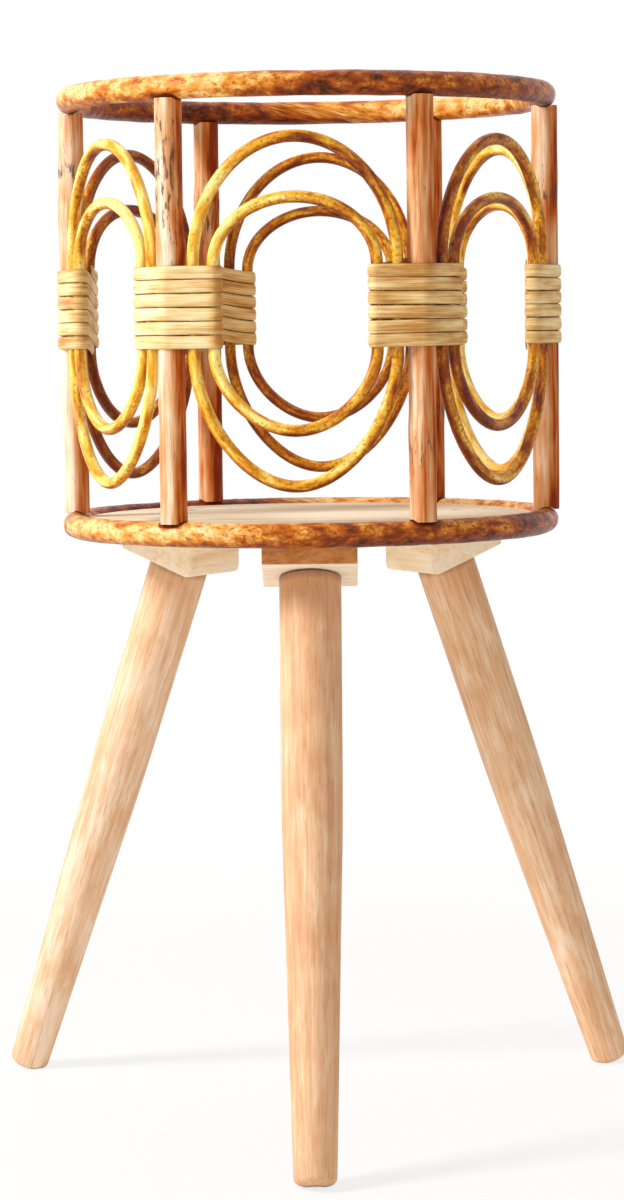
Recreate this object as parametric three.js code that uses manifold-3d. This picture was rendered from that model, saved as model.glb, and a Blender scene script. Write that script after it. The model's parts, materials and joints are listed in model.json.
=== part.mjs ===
// A round rattan plant stand: a cane basket with six panels of paired oval hoops, on three splayed legs.
// Millimetres, +Z up. The stand rests on z = 0, and the origin is on the floor under the middle of its
// bounding box. The front of the stand, where one leg points, is towards -Y.

import * as THREE from "three";
import { mergeVertices } from "three/addons/utils/BufferGeometryUtils.js";
import Module from "manifold-3d";

const wasm = await Module();
wasm.setup();

// ---- Driving dimensions ------------------------------------------------------------------------

// Clearances
const seatGap = 0.3; // between two pieces that touch on the real stand
const boreClearance = 0.3; // round each fastener, on the radius

// Legs
const legLength = 350;
const legSplayDegrees = 20.5;
const legInset = 55.6; // from the basket's outside to the centre of a leg's top
const legTopDiameter = 36;
const legTopChamfer = 1.2;
const legTaperDiameter = 35; // where the long taper starts
const legTaperStart = 140; // down the leg from its top
const legTaperBlend = 22; // half the length over which the barrel turns into the taper
const legFootDiameter = 25;
const footRimRadius = 5;
const footPlaning = 1; // planed off the foot, level with the floor

// Wedge blocks that carry the legs
const blockWidth = 55;
const blockReachOut = 24.6; // from a leg's centre to the block's outer face
const blockReachIn = 25.9; // from a leg's centre to the block's inner face
const blockOuterHeight = 13.3;
const blockCornerRadius = 8;

// Leg bolt and the flanged insert that it screws into
const boltDiameter = 8;
const boltInLeg = 30;
const boltInBlock = 16;
const boltChamfer = 0.9;
const insertDiameter = 12;
const insertLength = 13;
const insertFlangeDiameter = 16;
const insertFlangeThickness = 1.2;
const drillTip = 1.5; // how much deeper than its fastener each blind hole is

// Seat board
const boardThickness = 8;
const boardEdgeChamfer = 1;

// Countersunk screws, two from the board down into each block
const screwDiameter = 4;
const screwHeadDiameter = 8;
const screwLength = 24;
const screwSink = 0.4; // head below the board's face
const screwTipLength = 3;
const screwEdgeDistance = 10.5; // from the block's side

// Basket rings, each a bent rattan pole with its ends scarfed together at the rear
const basketDiameter = 300;
const ringPoleDiameter = 15;
const ringSpacing = 253.7; // between the rings' centres
const basketTurnDegrees = -2.75; // the basket's turn on the legs
const scarfDegrees = 15;
const scarfGap = 0.4;

// Posts, coped over the rings at both ends
const postDiameter = 16;
const saddleDepth = 3.3;

// Oval hoops of cane, two to a panel
const caneDiameter = 7.2;
const outerHoopPostGap = 1.65; // between the outer hoop and its post, across the panel
const hoopSpacing = 4.4; // between the outer and inner hoop's sides
const outerHoopTopDrop = 28.8; // below the top ring's centre
const outerHoopBottomRise = 27.3; // above the bottom ring's centre
const innerHoopTopDrop = 34; // below the outer hoop
const innerHoopBottomRise = 31.6; // above the outer hoop
const hoopCrown = 0.55; // how full the upper curve is: 0.55 is an ellipse
const hoopKeel = 0.5; // the lower curve is a little more pointed
const panelBow = 8.6; // how far the middle of a panel stands out from the line between its posts
const outerHoopProud = 0.3; // how far the outer hoop stands in front of the inner one
const panelBowRadius = 500;
const hoopEndGap = 0.4; // where a hoop's two ends meet, hidden in its binding

// Cane strap bound round each post and the four strands beside it
const strapTurns = 6;
const strapWidth = 7.3;
const strapThickness = 1.5;
const strapCrown = 0.6; // how much the strap's middle stands above its edges
const strapTurnGap = 0.6;
const bindingRise = 3.2; // above the hoops' mid height
const strandSpare = 0.8; // how far each strand runs straight past its binding

// Wire nails down through the rings into the posts
const nailDiameter = 2.4;
const nailHeadDiameter = 5;
const nailHeadThickness = 0.9;
const nailLength = 40;
const nailSink = 0.5;
const nailTipLength = 3;

// Brads through the bottom ring into the board's edge
const bradDiameter = 1.8;
const bradHeadDiameter = 2.8;
const bradHeadThickness = 0.8;
const bradLength = 28;
const bradSink = 0.3;
const bradTipLength = 2;
const bradOffsetDegrees = 15; // past the post beside it

// Facets
const roundSteps = 48; // round the basket, a multiple of the six posts
const poleSides = 12;
const postSides = 16;
const legSides = 18;
const caneSides = 7;
const outerHoopSteps = 32;
const innerHoopSteps = 26;
const strapEndSteps = 5; // round each end of a bound bundle
const fastenerSides = 8;
const nailSides = 6;
const footRimSteps = 3;
const taperBlendSteps = 3;
const blockCornerSteps = 5;

// Colours, as they look on the stand
const rattanPole = { color: 0xb5743a, roughness: 0.55, metalness: 0 };
const peeledPole = { color: 0xd3a073, roughness: 0.7, metalness: 0 };
const glossyCane = { color: 0xd39a3f, roughness: 0.4, metalness: 0 };
const paleStrap = { color: 0xe2c88f, roughness: 0.5, metalness: 0 };
const legWood = { color: 0xe3b987, roughness: 0.6, metalness: 0 };
const blockWood = { color: 0xe8dac0, roughness: 0.7, metalness: 0 };
const boardWood = { color: 0xddd2c0, roughness: 0.75, metalness: 0 };
const zincSteel = { color: 0xb9bcc0, roughness: 0.35, metalness: 1 };
const brassInsert = { color: 0xc9b06a, roughness: 0.35, metalness: 1 };

// Where the pieces stand, counted from the front towards +X
const legPlaces = ["front", "right", "left"];
const postPlaces = ["front_right", "right", "rear_right", "rear_left", "left", "front_left"];
const panelPlaces = ["front", "front_right", "rear_right", "rear", "rear_left", "front_left"];

// ---- Derived sizes -----------------------------------------------------------------------------

const radians = Math.PI / 180;
const splay = legSplayDegrees * radians;
const basketTurn = basketTurnDegrees * radians;
const legStep = (2 * Math.PI) / legPlaces.length;
const postStep = (2 * Math.PI) / postPlaces.length;

const legTopRadius = basketDiameter / 2 - legInset;
const legTopHeight =
  (legLength - footRimRadius) * Math.cos(splay) +
  (legFootDiameter / 2 - footRimRadius) * Math.sin(splay) +
  footRimRadius -
  footPlaning;
const blockOuterRadius = legTopRadius + blockReachOut;
const blockInnerRadius = legTopRadius - blockReachIn;
const boardUnderside = blockUndersideAt(blockOuterRadius) + blockOuterHeight + seatGap;
const boardTop = boardUnderside + boardThickness;

const poleRadius = ringPoleDiameter / 2;
const ringRadius = basketDiameter / 2 - poleRadius;
const bottomRingHeight = boardUnderside + boardThickness / 2;
const topRingHeight = bottomRingHeight + ringSpacing;
const postEndInset = poleRadius + seatGap - saddleDepth;

const caneRadius = caneDiameter / 2;
const halfPanel = ringRadius * Math.sin(postStep / 2);
const panelDistance = ringRadius * Math.cos(postStep / 2);
const outerHalfWidth = halfPanel - postDiameter / 2 - outerHoopPostGap - caneRadius;
const innerHalfWidth = outerHalfWidth - caneDiameter - hoopSpacing;
const outerHoopTop = topRingHeight - outerHoopTopDrop;
const outerHoopBottom = bottomRingHeight + outerHoopBottomRise;
const innerHoopTop = outerHoopTop - innerHoopTopDrop;
const innerHoopBottom = outerHoopBottom + innerHoopBottomRise;

const strapPitch = strapWidth + strapTurnGap;
const bindingHeight = (strapTurns - 1) * strapPitch + strapWidth;
const bindingMiddle = (outerHoopTop + outerHoopBottom) / 2 + bindingRise;
const straightHalf = bindingHeight / 2 + strandSpare;

// The leg's own frame: its origin is the middle of the leg's top, and +Z runs up along the leg.
const legFrame = new THREE.Matrix4().makeRotationX(-splay);
legFrame.setPosition(0, -legTopRadius, legTopHeight);

// The height of a block's sloping underside at a distance from the stand's axis.
function blockUndersideAt(radius) {
  return legTopHeight + (radius - legTopRadius) * Math.tan(splay) + seatGap / Math.cos(splay);
}

// How far a hoop stands out from the line between its posts, at a distance from the panel's middle.
function standOutAt(across, proud) {
  const sag = panelBowRadius - Math.sqrt(panelBowRadius ** 2 - across ** 2);
  return panelBow + proud - sag;
}

// ---- Solid helpers -----------------------------------------------------------------------------

function toSolid(geometry) {
  const bare = geometry.clone();
  bare.deleteAttribute("normal");
  bare.deleteAttribute("uv");
  const merged = mergeVertices(bare);
  const vertProperties = merged.attributes.position.array;
  const triVerts = new Uint32Array(merged.index.array);
  return new wasm.Manifold(new wasm.Mesh({ numProp: 3, vertProperties, triVerts }));
}

function toGeometry(solid) {
  const mesh = solid.getMesh();
  const geometry = new THREE.BufferGeometry();
  geometry.setAttribute("position", new THREE.BufferAttribute(mesh.vertProperties, 3));
  geometry.setIndex(new THREE.BufferAttribute(mesh.triVerts, 1));
  geometry.computeVertexNormals();
  return geometry;
}

// Takes each tool away from a geometry.
function cut(geometry, tools) {
  const solid = tools.reduce((left, tool) => left.subtract(toSolid(tool)), toSolid(geometry));
  return toGeometry(solid);
}

// A solid of revolution about +Z. The profile lists [radius, height] from the bottom up.
function turned(profile, sides) {
  const points = profile.map(([radius, height]) => new THREE.Vector2(radius, height));
  return new THREE.LatheGeometry(points, sides).rotateX(Math.PI / 2);
}

// A round bar along +Z between two heights.
function bar(diameter, bottom, top, sides) {
  const geometry = new THREE.CylinderGeometry(diameter / 2, diameter / 2, top - bottom, sides);
  return geometry.rotateX(Math.PI / 2).translate(0, 0, (bottom + top) / 2);
}

function piece(name, geometry, finish) {
  const mesh = new THREE.Mesh(geometry, new THREE.MeshStandardMaterial(finish));
  mesh.name = name;
  return mesh;
}

// A group turned about the upright axis, so that its own -Y points out at that azimuth.
function atAzimuth(azimuth) {
  const group = new THREE.Group();
  group.rotation.z = azimuth;
  return group;
}

// ---- Fasteners ---------------------------------------------------------------------------------

// A nail with the middle of its head's face at the origin and its shank down -Z.
function nail(diameter, headDiameter, headThickness, length, tipLength) {
  const profile = [
    [0, -length],
    [diameter / 2, tipLength - length],
    [diameter / 2, -headThickness],
    [headDiameter / 2, -headThickness],
    [headDiameter / 2, 0],
    [0, 0],
  ];
  return turned(profile, nailSides);
}

// The hole that a nail needs: its shank and a sink for its head, open past the surface.
function nailHole(diameter, headDiameter, headThickness, length) {
  const shank = diameter / 2 + boreClearance;
  const head = headDiameter / 2 + boreClearance;
  const floor = -headThickness - seatGap;
  const profile = [
    [0, -length - drillTip],
    [shank, -length - drillTip],
    [shank, floor],
    [head, floor],
    [head, headDiameter],
    [0, headDiameter],
  ];
  return turned(profile, nailSides);
}

// A countersunk screw, or the hole for it when grown by a clearance and opened past the surface.
function screwShape(grow, opening) {
  const shank = screwDiameter / 2;
  const head = screwHeadDiameter / 2;
  const coneHeight = head - shank;
  const profile = [
    [0, -screwLength - grow],
    [shank + grow, screwTipLength - screwLength - grow],
    [shank + grow, -coneHeight],
    [head + grow, 0],
  ];
  if (opening > 0) {
    profile.push([head + grow, opening]);
  }
  profile.push([0, opening]);
  return turned(profile, fastenerSides);
}

function boltGeometry() {
  const radius = boltDiameter / 2;
  const profile = [
    [0, -boltInLeg],
    [radius - boltChamfer, -boltInLeg],
    [radius, boltChamfer - boltInLeg],
    [radius, boltInBlock - boltChamfer],
    [radius - boltChamfer, boltInBlock],
    [0, boltInBlock],
  ];
  return turned(profile, fastenerSides);
}

function insertGeometry() {
  const bore = boltDiameter / 2 + boreClearance;
  const bottom = seatGap;
  const flangeTop = bottom + insertFlangeThickness;
  const top = bottom + insertLength;
  const profile = [
    [bore, bottom],
    [insertFlangeDiameter / 2, bottom],
    [insertFlangeDiameter / 2, flangeTop],
    [insertDiameter / 2, flangeTop],
    [insertDiameter / 2, top],
    [bore, top],
    [bore, bottom],
  ];
  return turned(profile, fastenerSides);
}

// Where the two board screws of a block stand, in the block's own azimuth.
const screwSpots = [
  { side: "a", across: blockWidth / 2 - screwEdgeDistance },
  { side: "b", across: screwEdgeDistance - blockWidth / 2 },
];
const screwHeight = boardTop - screwSink;

function screwHole(across) {
  return screwShape(boreClearance, screwHeadDiameter).translate(across, -legTopRadius, screwHeight);
}

// ---- Legs and blocks ---------------------------------------------------------------------------

// The leg's turned outline from foot to top: a round-edged foot, a taper, a blend and a barrel.
function legProfile() {
  const foot = legFootDiameter / 2;
  const top = legTopDiameter / 2;
  const rim = Array.from({ length: footRimSteps + 1 }, (_, step) => {
    const angle = (step / footRimSteps) * (Math.PI / 2);
    const radius = foot - footRimRadius + footRimRadius * Math.sin(angle);
    return [radius, footRimRadius - footRimRadius * Math.cos(angle) - legLength];
  });
  const knee = new THREE.Vector2(legTaperDiameter / 2, -legTaperStart);
  const barrelEnd = knee.clone().lerp(new THREE.Vector2(top, 0), legTaperBlend / legTaperStart);
  const taperLength = legLength - legTaperStart - footRimRadius;
  const footTop = new THREE.Vector2(foot, footRimRadius - legLength);
  const taperEnd = knee.clone().lerp(footTop, legTaperBlend / taperLength);
  const blend = new THREE.QuadraticBezierCurve(taperEnd, knee, barrelEnd).getPoints(taperBlendSteps);
  return [
    [0, -legLength],
    ...rim,
    ...blend.map((point) => [point.x, point.y]),
    [top, -legTopChamfer],
    [top - legTopChamfer, 0],
    [0, 0],
  ];
}

function legGeometry() {
  const boltHole = bar(boltDiameter + 2 * boreClearance, -boltInLeg - drillTip, seatGap, fastenerSides);
  const floor = new THREE.BoxGeometry(legLength, 2 * legLength, legLength);
  floor.translate(0, 0, -legLength / 2).applyMatrix4(legFrame.clone().invert());
  return cut(turned(legProfile(), legSides), [boltHole, floor]);
}

// The wedge's side outline, drawn as [distance from the stand's axis, height].
function blockGeometry() {
  const top = boardUnderside - seatGap;
  const corner = new THREE.Vector2(blockInnerRadius, blockUndersideAt(blockInnerRadius));
  const slopeStart = blockInnerRadius + blockCornerRadius;
  const outline = new THREE.Shape();
  outline.moveTo(slopeStart, blockUndersideAt(slopeStart));
  outline.lineTo(blockOuterRadius, blockUndersideAt(blockOuterRadius));
  outline.lineTo(blockOuterRadius, top);
  outline.lineTo(blockInnerRadius, top);
  outline.lineTo(blockInnerRadius, corner.y + blockCornerRadius);
  outline.quadraticCurveTo(corner.x, corner.y, slopeStart, blockUndersideAt(slopeStart));
  const wedge = new THREE.ExtrudeGeometry(outline, {
    depth: blockWidth,
    bevelEnabled: false,
    curveSegments: blockCornerSteps,
  });
  const outward = new THREE.Vector3(0, -1, 0);
  const up = new THREE.Vector3(0, 0, 1);
  const across = new THREE.Vector3(-1, 0, 0);
  const upright = new THREE.Matrix4().makeBasis(outward, up, across).setPosition(blockWidth / 2, 0, 0);
  wedge.applyMatrix4(upright);

  const flangeTop = seatGap + insertFlangeThickness + seatGap;
  const boreTools = [
    bar(insertFlangeDiameter + 2 * boreClearance, 0, flangeTop, fastenerSides),
    bar(insertDiameter + 2 * boreClearance, 0, insertLength + 2 * seatGap, fastenerSides),
    bar(boltDiameter + 2 * boreClearance, 0, boltInBlock + drillTip, fastenerSides),
  ];
  boreTools.forEach((tool) => tool.applyMatrix4(legFrame));
  return cut(wedge, [...boreTools, ...screwSpots.map((spot) => screwHole(spot.across))]);
}

function makeLegs() {
  const legs = new THREE.Group();
  const leg = legGeometry();
  const block = blockGeometry();
  legPlaces.forEach((place, index) => {
    const station = atAzimuth(index * legStep);
    const along = new THREE.Group();
    along.position.set(0, -legTopRadius, legTopHeight);
    along.rotation.x = -splay;
    along.add(piece(`leg_${place}`, leg, legWood));
    along.add(piece(`leg_bolt_${place}`, boltGeometry(), zincSteel));
    along.add(piece(`leg_insert_${place}`, insertGeometry(), brassInsert));
    station.add(along);
    station.add(piece(`leg_block_${place}`, block, blockWood));
    for (const spot of screwSpots) {
      const screw = piece(`block_screw_${place}_${spot.side}`, screwShape(0, 0), zincSteel);
      screw.position.set(spot.across, -legTopRadius, screwHeight);
      station.add(screw);
    }
    legs.add(station);
  });
  return legs;
}

// ---- Rings, board and posts --------------------------------------------------------------------

const postAzimuths = postPlaces.map((_, index) => (index + 0.5) * postStep);
const bradAzimuths = postAzimuths
  .filter((_, index) => index % 2 === 0)
  .map((azimuth) => azimuth + bradOffsetDegrees * radians);
const nailHeadHeight = poleRadius - nailSink; // from a ring's centre to its nails' heads
const bradHeadRadius = ringRadius + poleRadius - bradSink;

// A ring's pole about +Z, thickened by a clearance when it is used to cope a post.
function poleRing(grow) {
  return new THREE.TorusGeometry(ringRadius, poleRadius + grow, poleSides, roundSteps);
}

// The slanted saw cut where the bent pole's two ends lie together, at the rear.
function scarfCut() {
  const length = ringPoleDiameter / Math.sin(scarfDegrees * radians) + ringPoleDiameter;
  const slab = new THREE.BoxGeometry(length, 2 * ringPoleDiameter, scarfGap);
  return slab.rotateY(scarfDegrees * radians).translate(0, ringRadius, 0);
}

// The holes for the nails into the posts. The nails enter from above, or from below when flipped.
function nailHolesOfRing(flipped) {
  return postAzimuths.map((azimuth) => {
    const hole = nailHole(nailDiameter, nailHeadDiameter, nailHeadThickness, nailLength);
    hole.translate(0, 0, nailHeadHeight);
    if (flipped) {
      hole.rotateX(Math.PI);
    }
    return hole.translate(0, -ringRadius, 0).rotateZ(azimuth);
  });
}

function bradHoles() {
  return bradAzimuths.map((azimuth) => {
    const hole = nailHole(bradDiameter, bradHeadDiameter, bradHeadThickness, bradLength);
    return hole.rotateX(Math.PI / 2).translate(0, -bradHeadRadius, 0).rotateZ(azimuth);
  });
}

function boardGeometry() {
  const radius = ringRadius - poleRadius - seatGap;
  const half = boardThickness / 2;
  const profile = [
    [0, -half],
    [radius - boardEdgeChamfer, -half],
    [radius, boardEdgeChamfer - half],
    [radius, half - boardEdgeChamfer],
    [radius - boardEdgeChamfer, half],
    [0, half],
  ];
  const screwHoles = legPlaces.flatMap((_, index) =>
    screwSpots.map((spot) => {
      const hole = screwHole(spot.across).translate(0, 0, -bottomRingHeight);
      return hole.rotateZ(index * legStep - basketTurn);
    }),
  );
  return cut(turned(profile, roundSteps), [...screwHoles, ...bradHoles()]);
}

// A post about its own middle, coped over both rings and drilled for its two nails.
function postGeometry() {
  const halfLength = ringSpacing / 2 - postEndInset;
  const tools = [0, Math.PI].flatMap((flip) => {
    const saddle = poleRing(seatGap).translate(0, ringRadius, ringSpacing / 2);
    const hole = nailHole(nailDiameter, nailHeadDiameter, nailHeadThickness, nailLength);
    hole.translate(0, 0, ringSpacing / 2 + nailHeadHeight);
    return [saddle.rotateY(flip), hole.rotateY(flip)];
  });
  return cut(bar(postDiameter, -halfLength, halfLength, postSides), tools);
}

function addRings(basket) {
  const topRing = cut(poleRing(0), [scarfCut(), ...nailHolesOfRing(false)]);
  const bottomRing = cut(poleRing(0), [scarfCut(), ...nailHolesOfRing(true), ...bradHoles()]);
  const top = piece("top_ring", topRing, rattanPole);
  const bottom = piece("bottom_ring", bottomRing, rattanPole);
  const board = piece("seat_board", boardGeometry(), boardWood);
  top.position.z = topRingHeight;
  bottom.position.z = bottomRingHeight;
  board.position.z = bottomRingHeight;
  basket.add(top, bottom, board);
}

function addPosts(basket) {
  const post = postGeometry();
  postPlaces.forEach((place, index) => {
    const station = atAzimuth(postAzimuths[index]);
    const pole = piece(`post_${place}`, post, peeledPole);
    pole.position.set(0, -ringRadius, (bottomRingHeight + topRingHeight) / 2);
    station.add(pole);
    for (const end of ["top", "bottom"]) {
      const shape = nail(nailDiameter, nailHeadDiameter, nailHeadThickness, nailLength, nailTipLength);
      const wire = piece(`${end}_nail_${place}`, shape, zincSteel);
      const atTop = end === "top";
      const headHeight = atTop ? topRingHeight + nailHeadHeight : bottomRingHeight - nailHeadHeight;
      wire.position.set(0, -ringRadius, headHeight);
      wire.rotation.x = atTop ? 0 : Math.PI;
      station.add(wire);
    }
    basket.add(station);
  });
}

function addBrads(basket) {
  bradAzimuths.forEach((azimuth, index) => {
    const station = atAzimuth(azimuth);
    const shape = nail(bradDiameter, bradHeadDiameter, bradHeadThickness, bradLength, bradTipLength);
    const brad = piece(`board_brad_${postPlaces[2 * index]}`, shape, zincSteel);
    brad.position.set(0, -bradHeadRadius, bottomRingHeight);
    brad.rotation.x = Math.PI / 2;
    station.add(brad);
    basket.add(station);
  });
}

// ---- Hoops -------------------------------------------------------------------------------------

// A flat outline laid on the panel's bowed face.
class BowedOutline extends THREE.Curve {
  constructor(outline, proud) {
    super();
    this.outline = outline;
    this.proud = proud;
  }

  getPoint(t, target = new THREE.Vector3()) {
    const flat = this.outline.getPointAt(t);
    return target.set(flat.x, -panelDistance - standOutAt(flat.x, this.proud), flat.y);
  }
}

// An oval that runs straight and upright through its two bindings, from one cut end to the other.
function hoopOutline(halfWidth, top, bottom) {
  const upper = bindingMiddle + straightHalf;
  const lower = bindingMiddle - straightHalf;
  const shoulder = upper + hoopCrown * (top - upper);
  const haunch = lower - hoopKeel * (lower - bottom);
  const crown = hoopCrown * halfWidth;
  const keel = hoopKeel * halfWidth;
  const outline = new THREE.Path();
  outline.moveTo(-halfWidth, bindingMiddle + hoopEndGap / 2);
  outline.lineTo(-halfWidth, upper);
  outline.bezierCurveTo(-halfWidth, shoulder, -crown, top, 0, top);
  outline.bezierCurveTo(crown, top, halfWidth, shoulder, halfWidth, upper);
  outline.lineTo(halfWidth, lower);
  outline.bezierCurveTo(halfWidth, haunch, keel, bottom, 0, bottom);
  outline.bezierCurveTo(-keel, bottom, -halfWidth, haunch, -halfWidth, lower);
  outline.lineTo(-halfWidth, bindingMiddle - hoopEndGap / 2);
  return outline;
}

function hoopGeometry(outline, proud, steps) {
  const corners = Array.from({ length: caneSides }, (_, index) => {
    const angle = (index / caneSides) * 2 * Math.PI;
    return new THREE.Vector2(caneRadius * Math.cos(angle), caneRadius * Math.sin(angle));
  });
  return new THREE.ExtrudeGeometry(new THREE.Shape(corners), {
    extrudePath: new BowedOutline(outline, proud),
    steps,
    bevelEnabled: false,
  });
}

function addHoops(basket) {
  const outerOutline = hoopOutline(outerHalfWidth, outerHoopTop, outerHoopBottom);
  const innerOutline = hoopOutline(innerHalfWidth, innerHoopTop, innerHoopBottom);
  const outer = hoopGeometry(outerOutline, outerHoopProud, outerHoopSteps);
  const inner = hoopGeometry(innerOutline, 0, innerHoopSteps);
  panelPlaces.forEach((place, index) => {
    const station = atAzimuth(index * postStep);
    station.add(piece(`outer_hoop_${place}`, outer, glossyCane));
    station.add(piece(`inner_hoop_${place}`, inner, glossyCane));
    basket.add(station);
  });
}

// ---- Bindings ----------------------------------------------------------------------------------

// One cane that a binding holds, about the post's centre: x runs across, y outwards.
function boundCane(halfWidth, proud) {
  const along = halfPanel - halfWidth;
  const out = standOutAt(halfWidth, proud);
  const x = along * Math.cos(postStep / 2) + out * Math.sin(postStep / 2);
  const y = out * Math.cos(postStep / 2) - along * Math.sin(postStep / 2);
  return { x, y, radius: caneRadius };
}

const boundPost = { x: 0, y: 0, radius: postDiameter / 2 };
const boundOuter = boundCane(outerHalfWidth, outerHoopProud);
const boundInner = boundCane(innerHalfWidth, 0);

// The directions that the strap's straight runs face, from the hidden side round one end of the bundle,
// across the front, where two runs lie against the post and its canes, and back round the other end.
function runDirections() {
  const reach = Math.hypot(boundInner.x, boundInner.y);
  const bearing = Math.atan2(boundInner.y, boundInner.x);
  const frontRun = Math.PI / 2 + bearing - Math.asin((boundPost.radius - boundInner.radius) / reach);
  const end = Array.from({ length: strapEndSteps + 1 }, (_, step) => {
    return -Math.PI / 2 + (step / strapEndSteps) * (frontRun + Math.PI / 2);
  });
  const otherEnd = end.slice(1).map((angle) => Math.PI - angle);
  return [...end, Math.PI / 2, ...otherEnd.reverse()];
}

// One turn of the strap's middle line, seen from above: a tight belt of straight runs round the bundle.
// Corner i joins run i to run i + 1, and run 0 lies on the hidden side, towards the basket's inside.
function beltCorners() {
  const mirrored = [boundOuter, boundInner].map((cane) => ({ ...cane, x: -cane.x }));
  const sections = [boundPost, boundOuter, boundInner, ...mirrored];
  const offset = seatGap + strapThickness / 2;
  const runs = runDirections().map((angle) => {
    const normal = new THREE.Vector2(Math.cos(angle), Math.sin(angle));
    const reach = sections.map((s) => s.x * normal.x + s.y * normal.y + s.radius);
    return { normal, distance: Math.max(...reach) + offset };
  });
  return runs.map((run, index) => {
    const next = runs[(index + 1) % runs.length];
    const cross = run.normal.cross(next.normal);
    const x = (run.distance * next.normal.y - next.distance * run.normal.y) / cross;
    const y = (next.distance * run.normal.x - run.distance * next.normal.x) / cross;
    const mitre = run.normal.clone().add(next.normal).divideScalar(1 + run.normal.dot(next.normal));
    return { place: new THREE.Vector2(x, y), mitre };
  });
}

// The strap's route: level turns that climb one pitch across the hidden run. Both ends stop
// straight, halfway along that run.
function strapRoute(corners) {
  const hiddenMiddle = corners[0].place.clone().add(corners.at(-1).place).divideScalar(2);
  const hiddenEnd = { place: hiddenMiddle, mitre: new THREE.Vector2(0, -1) };
  const firstTurn = -((strapTurns - 1) / 2) * strapPitch;
  const route = [{ ...hiddenEnd, height: firstTurn - strapPitch / 2 }];
  for (let turn = 0; turn < strapTurns; turn += 1) {
    const height = firstTurn + turn * strapPitch;
    route.push(...corners.map((corner) => ({ ...corner, height })));
  }
  route.push({ ...hiddenEnd, height: -firstTurn + strapPitch / 2 });
  return route;
}

// The strap's section: flat against the bundle, domed outside. x runs up, y away from the bundle.
function strapSection() {
  const half = strapWidth / 2;
  const back = -strapThickness / 2;
  const front = strapThickness / 2;
  return [
    new THREE.Vector2(-half, back),
    new THREE.Vector2(half, back),
    new THREE.Vector2(half, front - strapCrown),
    new THREE.Vector2(0, front),
    new THREE.Vector2(-half, front - strapCrown),
  ];
}

function strapPoints(route, section) {
  return route.map(({ place, mitre, height }) =>
    section.map((corner) => {
      const x = place.x + mitre.x * corner.y;
      const outward = place.y + mitre.y * corner.y;
      return new THREE.Vector3(x, -outward, height + corner.x);
    }),
  );
}

function strapGeometry(rows) {
  const sides = rows[0].length;
  const last = (rows.length - 1) * sides;
  const index = [];
  for (let row = 0; row < rows.length - 1; row += 1) {
    for (let side = 0; side < sides; side += 1) {
      const a = row * sides + side;
      const b = row * sides + ((side + 1) % sides);
      index.push(a, a + sides, b);
      index.push(b, a + sides, b + sides);
    }
  }
  for (let side = 1; side < sides - 1; side += 1) {
    index.push(0, side, side + 1);
    index.push(last, last + side + 1, last + side);
  }
  const geometry = new THREE.BufferGeometry().setFromPoints(rows.flat());
  geometry.setIndex(index);
  geometry.computeVertexNormals();
  return geometry;
}

// The least distance between one turn's upper edge and the next turn's lower edge.
function leastTurnGap(rows, rowsPerTurn) {
  const lowerCorner = 0;
  const upperCorner = 1;
  const nearest = new THREE.Vector3();
  let least = Infinity;
  for (let row = 0; row < rows.length; row += 1) {
    const point = rows[row][upperCorner];
    for (let other = row + rowsPerTurn / 2; other < rows.length - 1; other += 1) {
      const edge = new THREE.Line3(rows[other][lowerCorner], rows[other + 1][lowerCorner]);
      edge.closestPointToPoint(point, true, nearest);
      least = Math.min(least, nearest.distanceTo(point));
    }
  }
  return least;
}

function addBindings(basket) {
  const corners = beltCorners();
  const rows = strapPoints(strapRoute(corners), strapSection());
  const strap = strapGeometry(rows);
  const gap = leastTurnGap(rows, corners.length).toFixed(2);
  console.log(`binding: ${strapTurns} turns, least gap between turns ${gap} mm`);
  postPlaces.forEach((place, index) => {
    const station = atAzimuth(postAzimuths[index]);
    const binding = piece(`binding_${place}`, strap, paleStrap);
    binding.position.set(0, -ringRadius, bindingMiddle);
    station.add(binding);
    basket.add(station);
  });
}

// ---- The stand ---------------------------------------------------------------------------------

function makeBasket() {
  const basket = new THREE.Group();
  basket.rotation.z = basketTurn;
  addRings(basket);
  addPosts(basket);
  addBrads(basket);
  addHoops(basket);
  addBindings(basket);
  return basket;
}

function makeStand() {
  const standing = new THREE.Group();
  standing.add(makeLegs(), makeBasket());
  standing.updateMatrixWorld(true);
  const middle = new THREE.Box3().setFromObject(standing, true).getCenter(new THREE.Vector3());
  standing.position.set(-middle.x, -middle.y, 0);
  const stand = new THREE.Group();
  stand.add(standing);
  return stand;
}

const stand = makeStand();

export default stand;
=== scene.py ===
"""The looks of a round rattan plant stand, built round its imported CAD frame.

Metres, +Z up, in the frame's own axes: the stand rests on z = 0 and its front leg points to -Y. Sizes are
written in millimetres times MM. A station is a place on the stand's axis, turned so that its own -Y points
outwards at some azimuth.
"""

import json
import logging
import math
from contextlib import contextmanager
from dataclasses import dataclass, field
from enum import Enum
from typing import Any, Callable, Iterator, Sequence

import bmesh
import bpy
import numpy as np
from mathutils import Matrix, Vector

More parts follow.
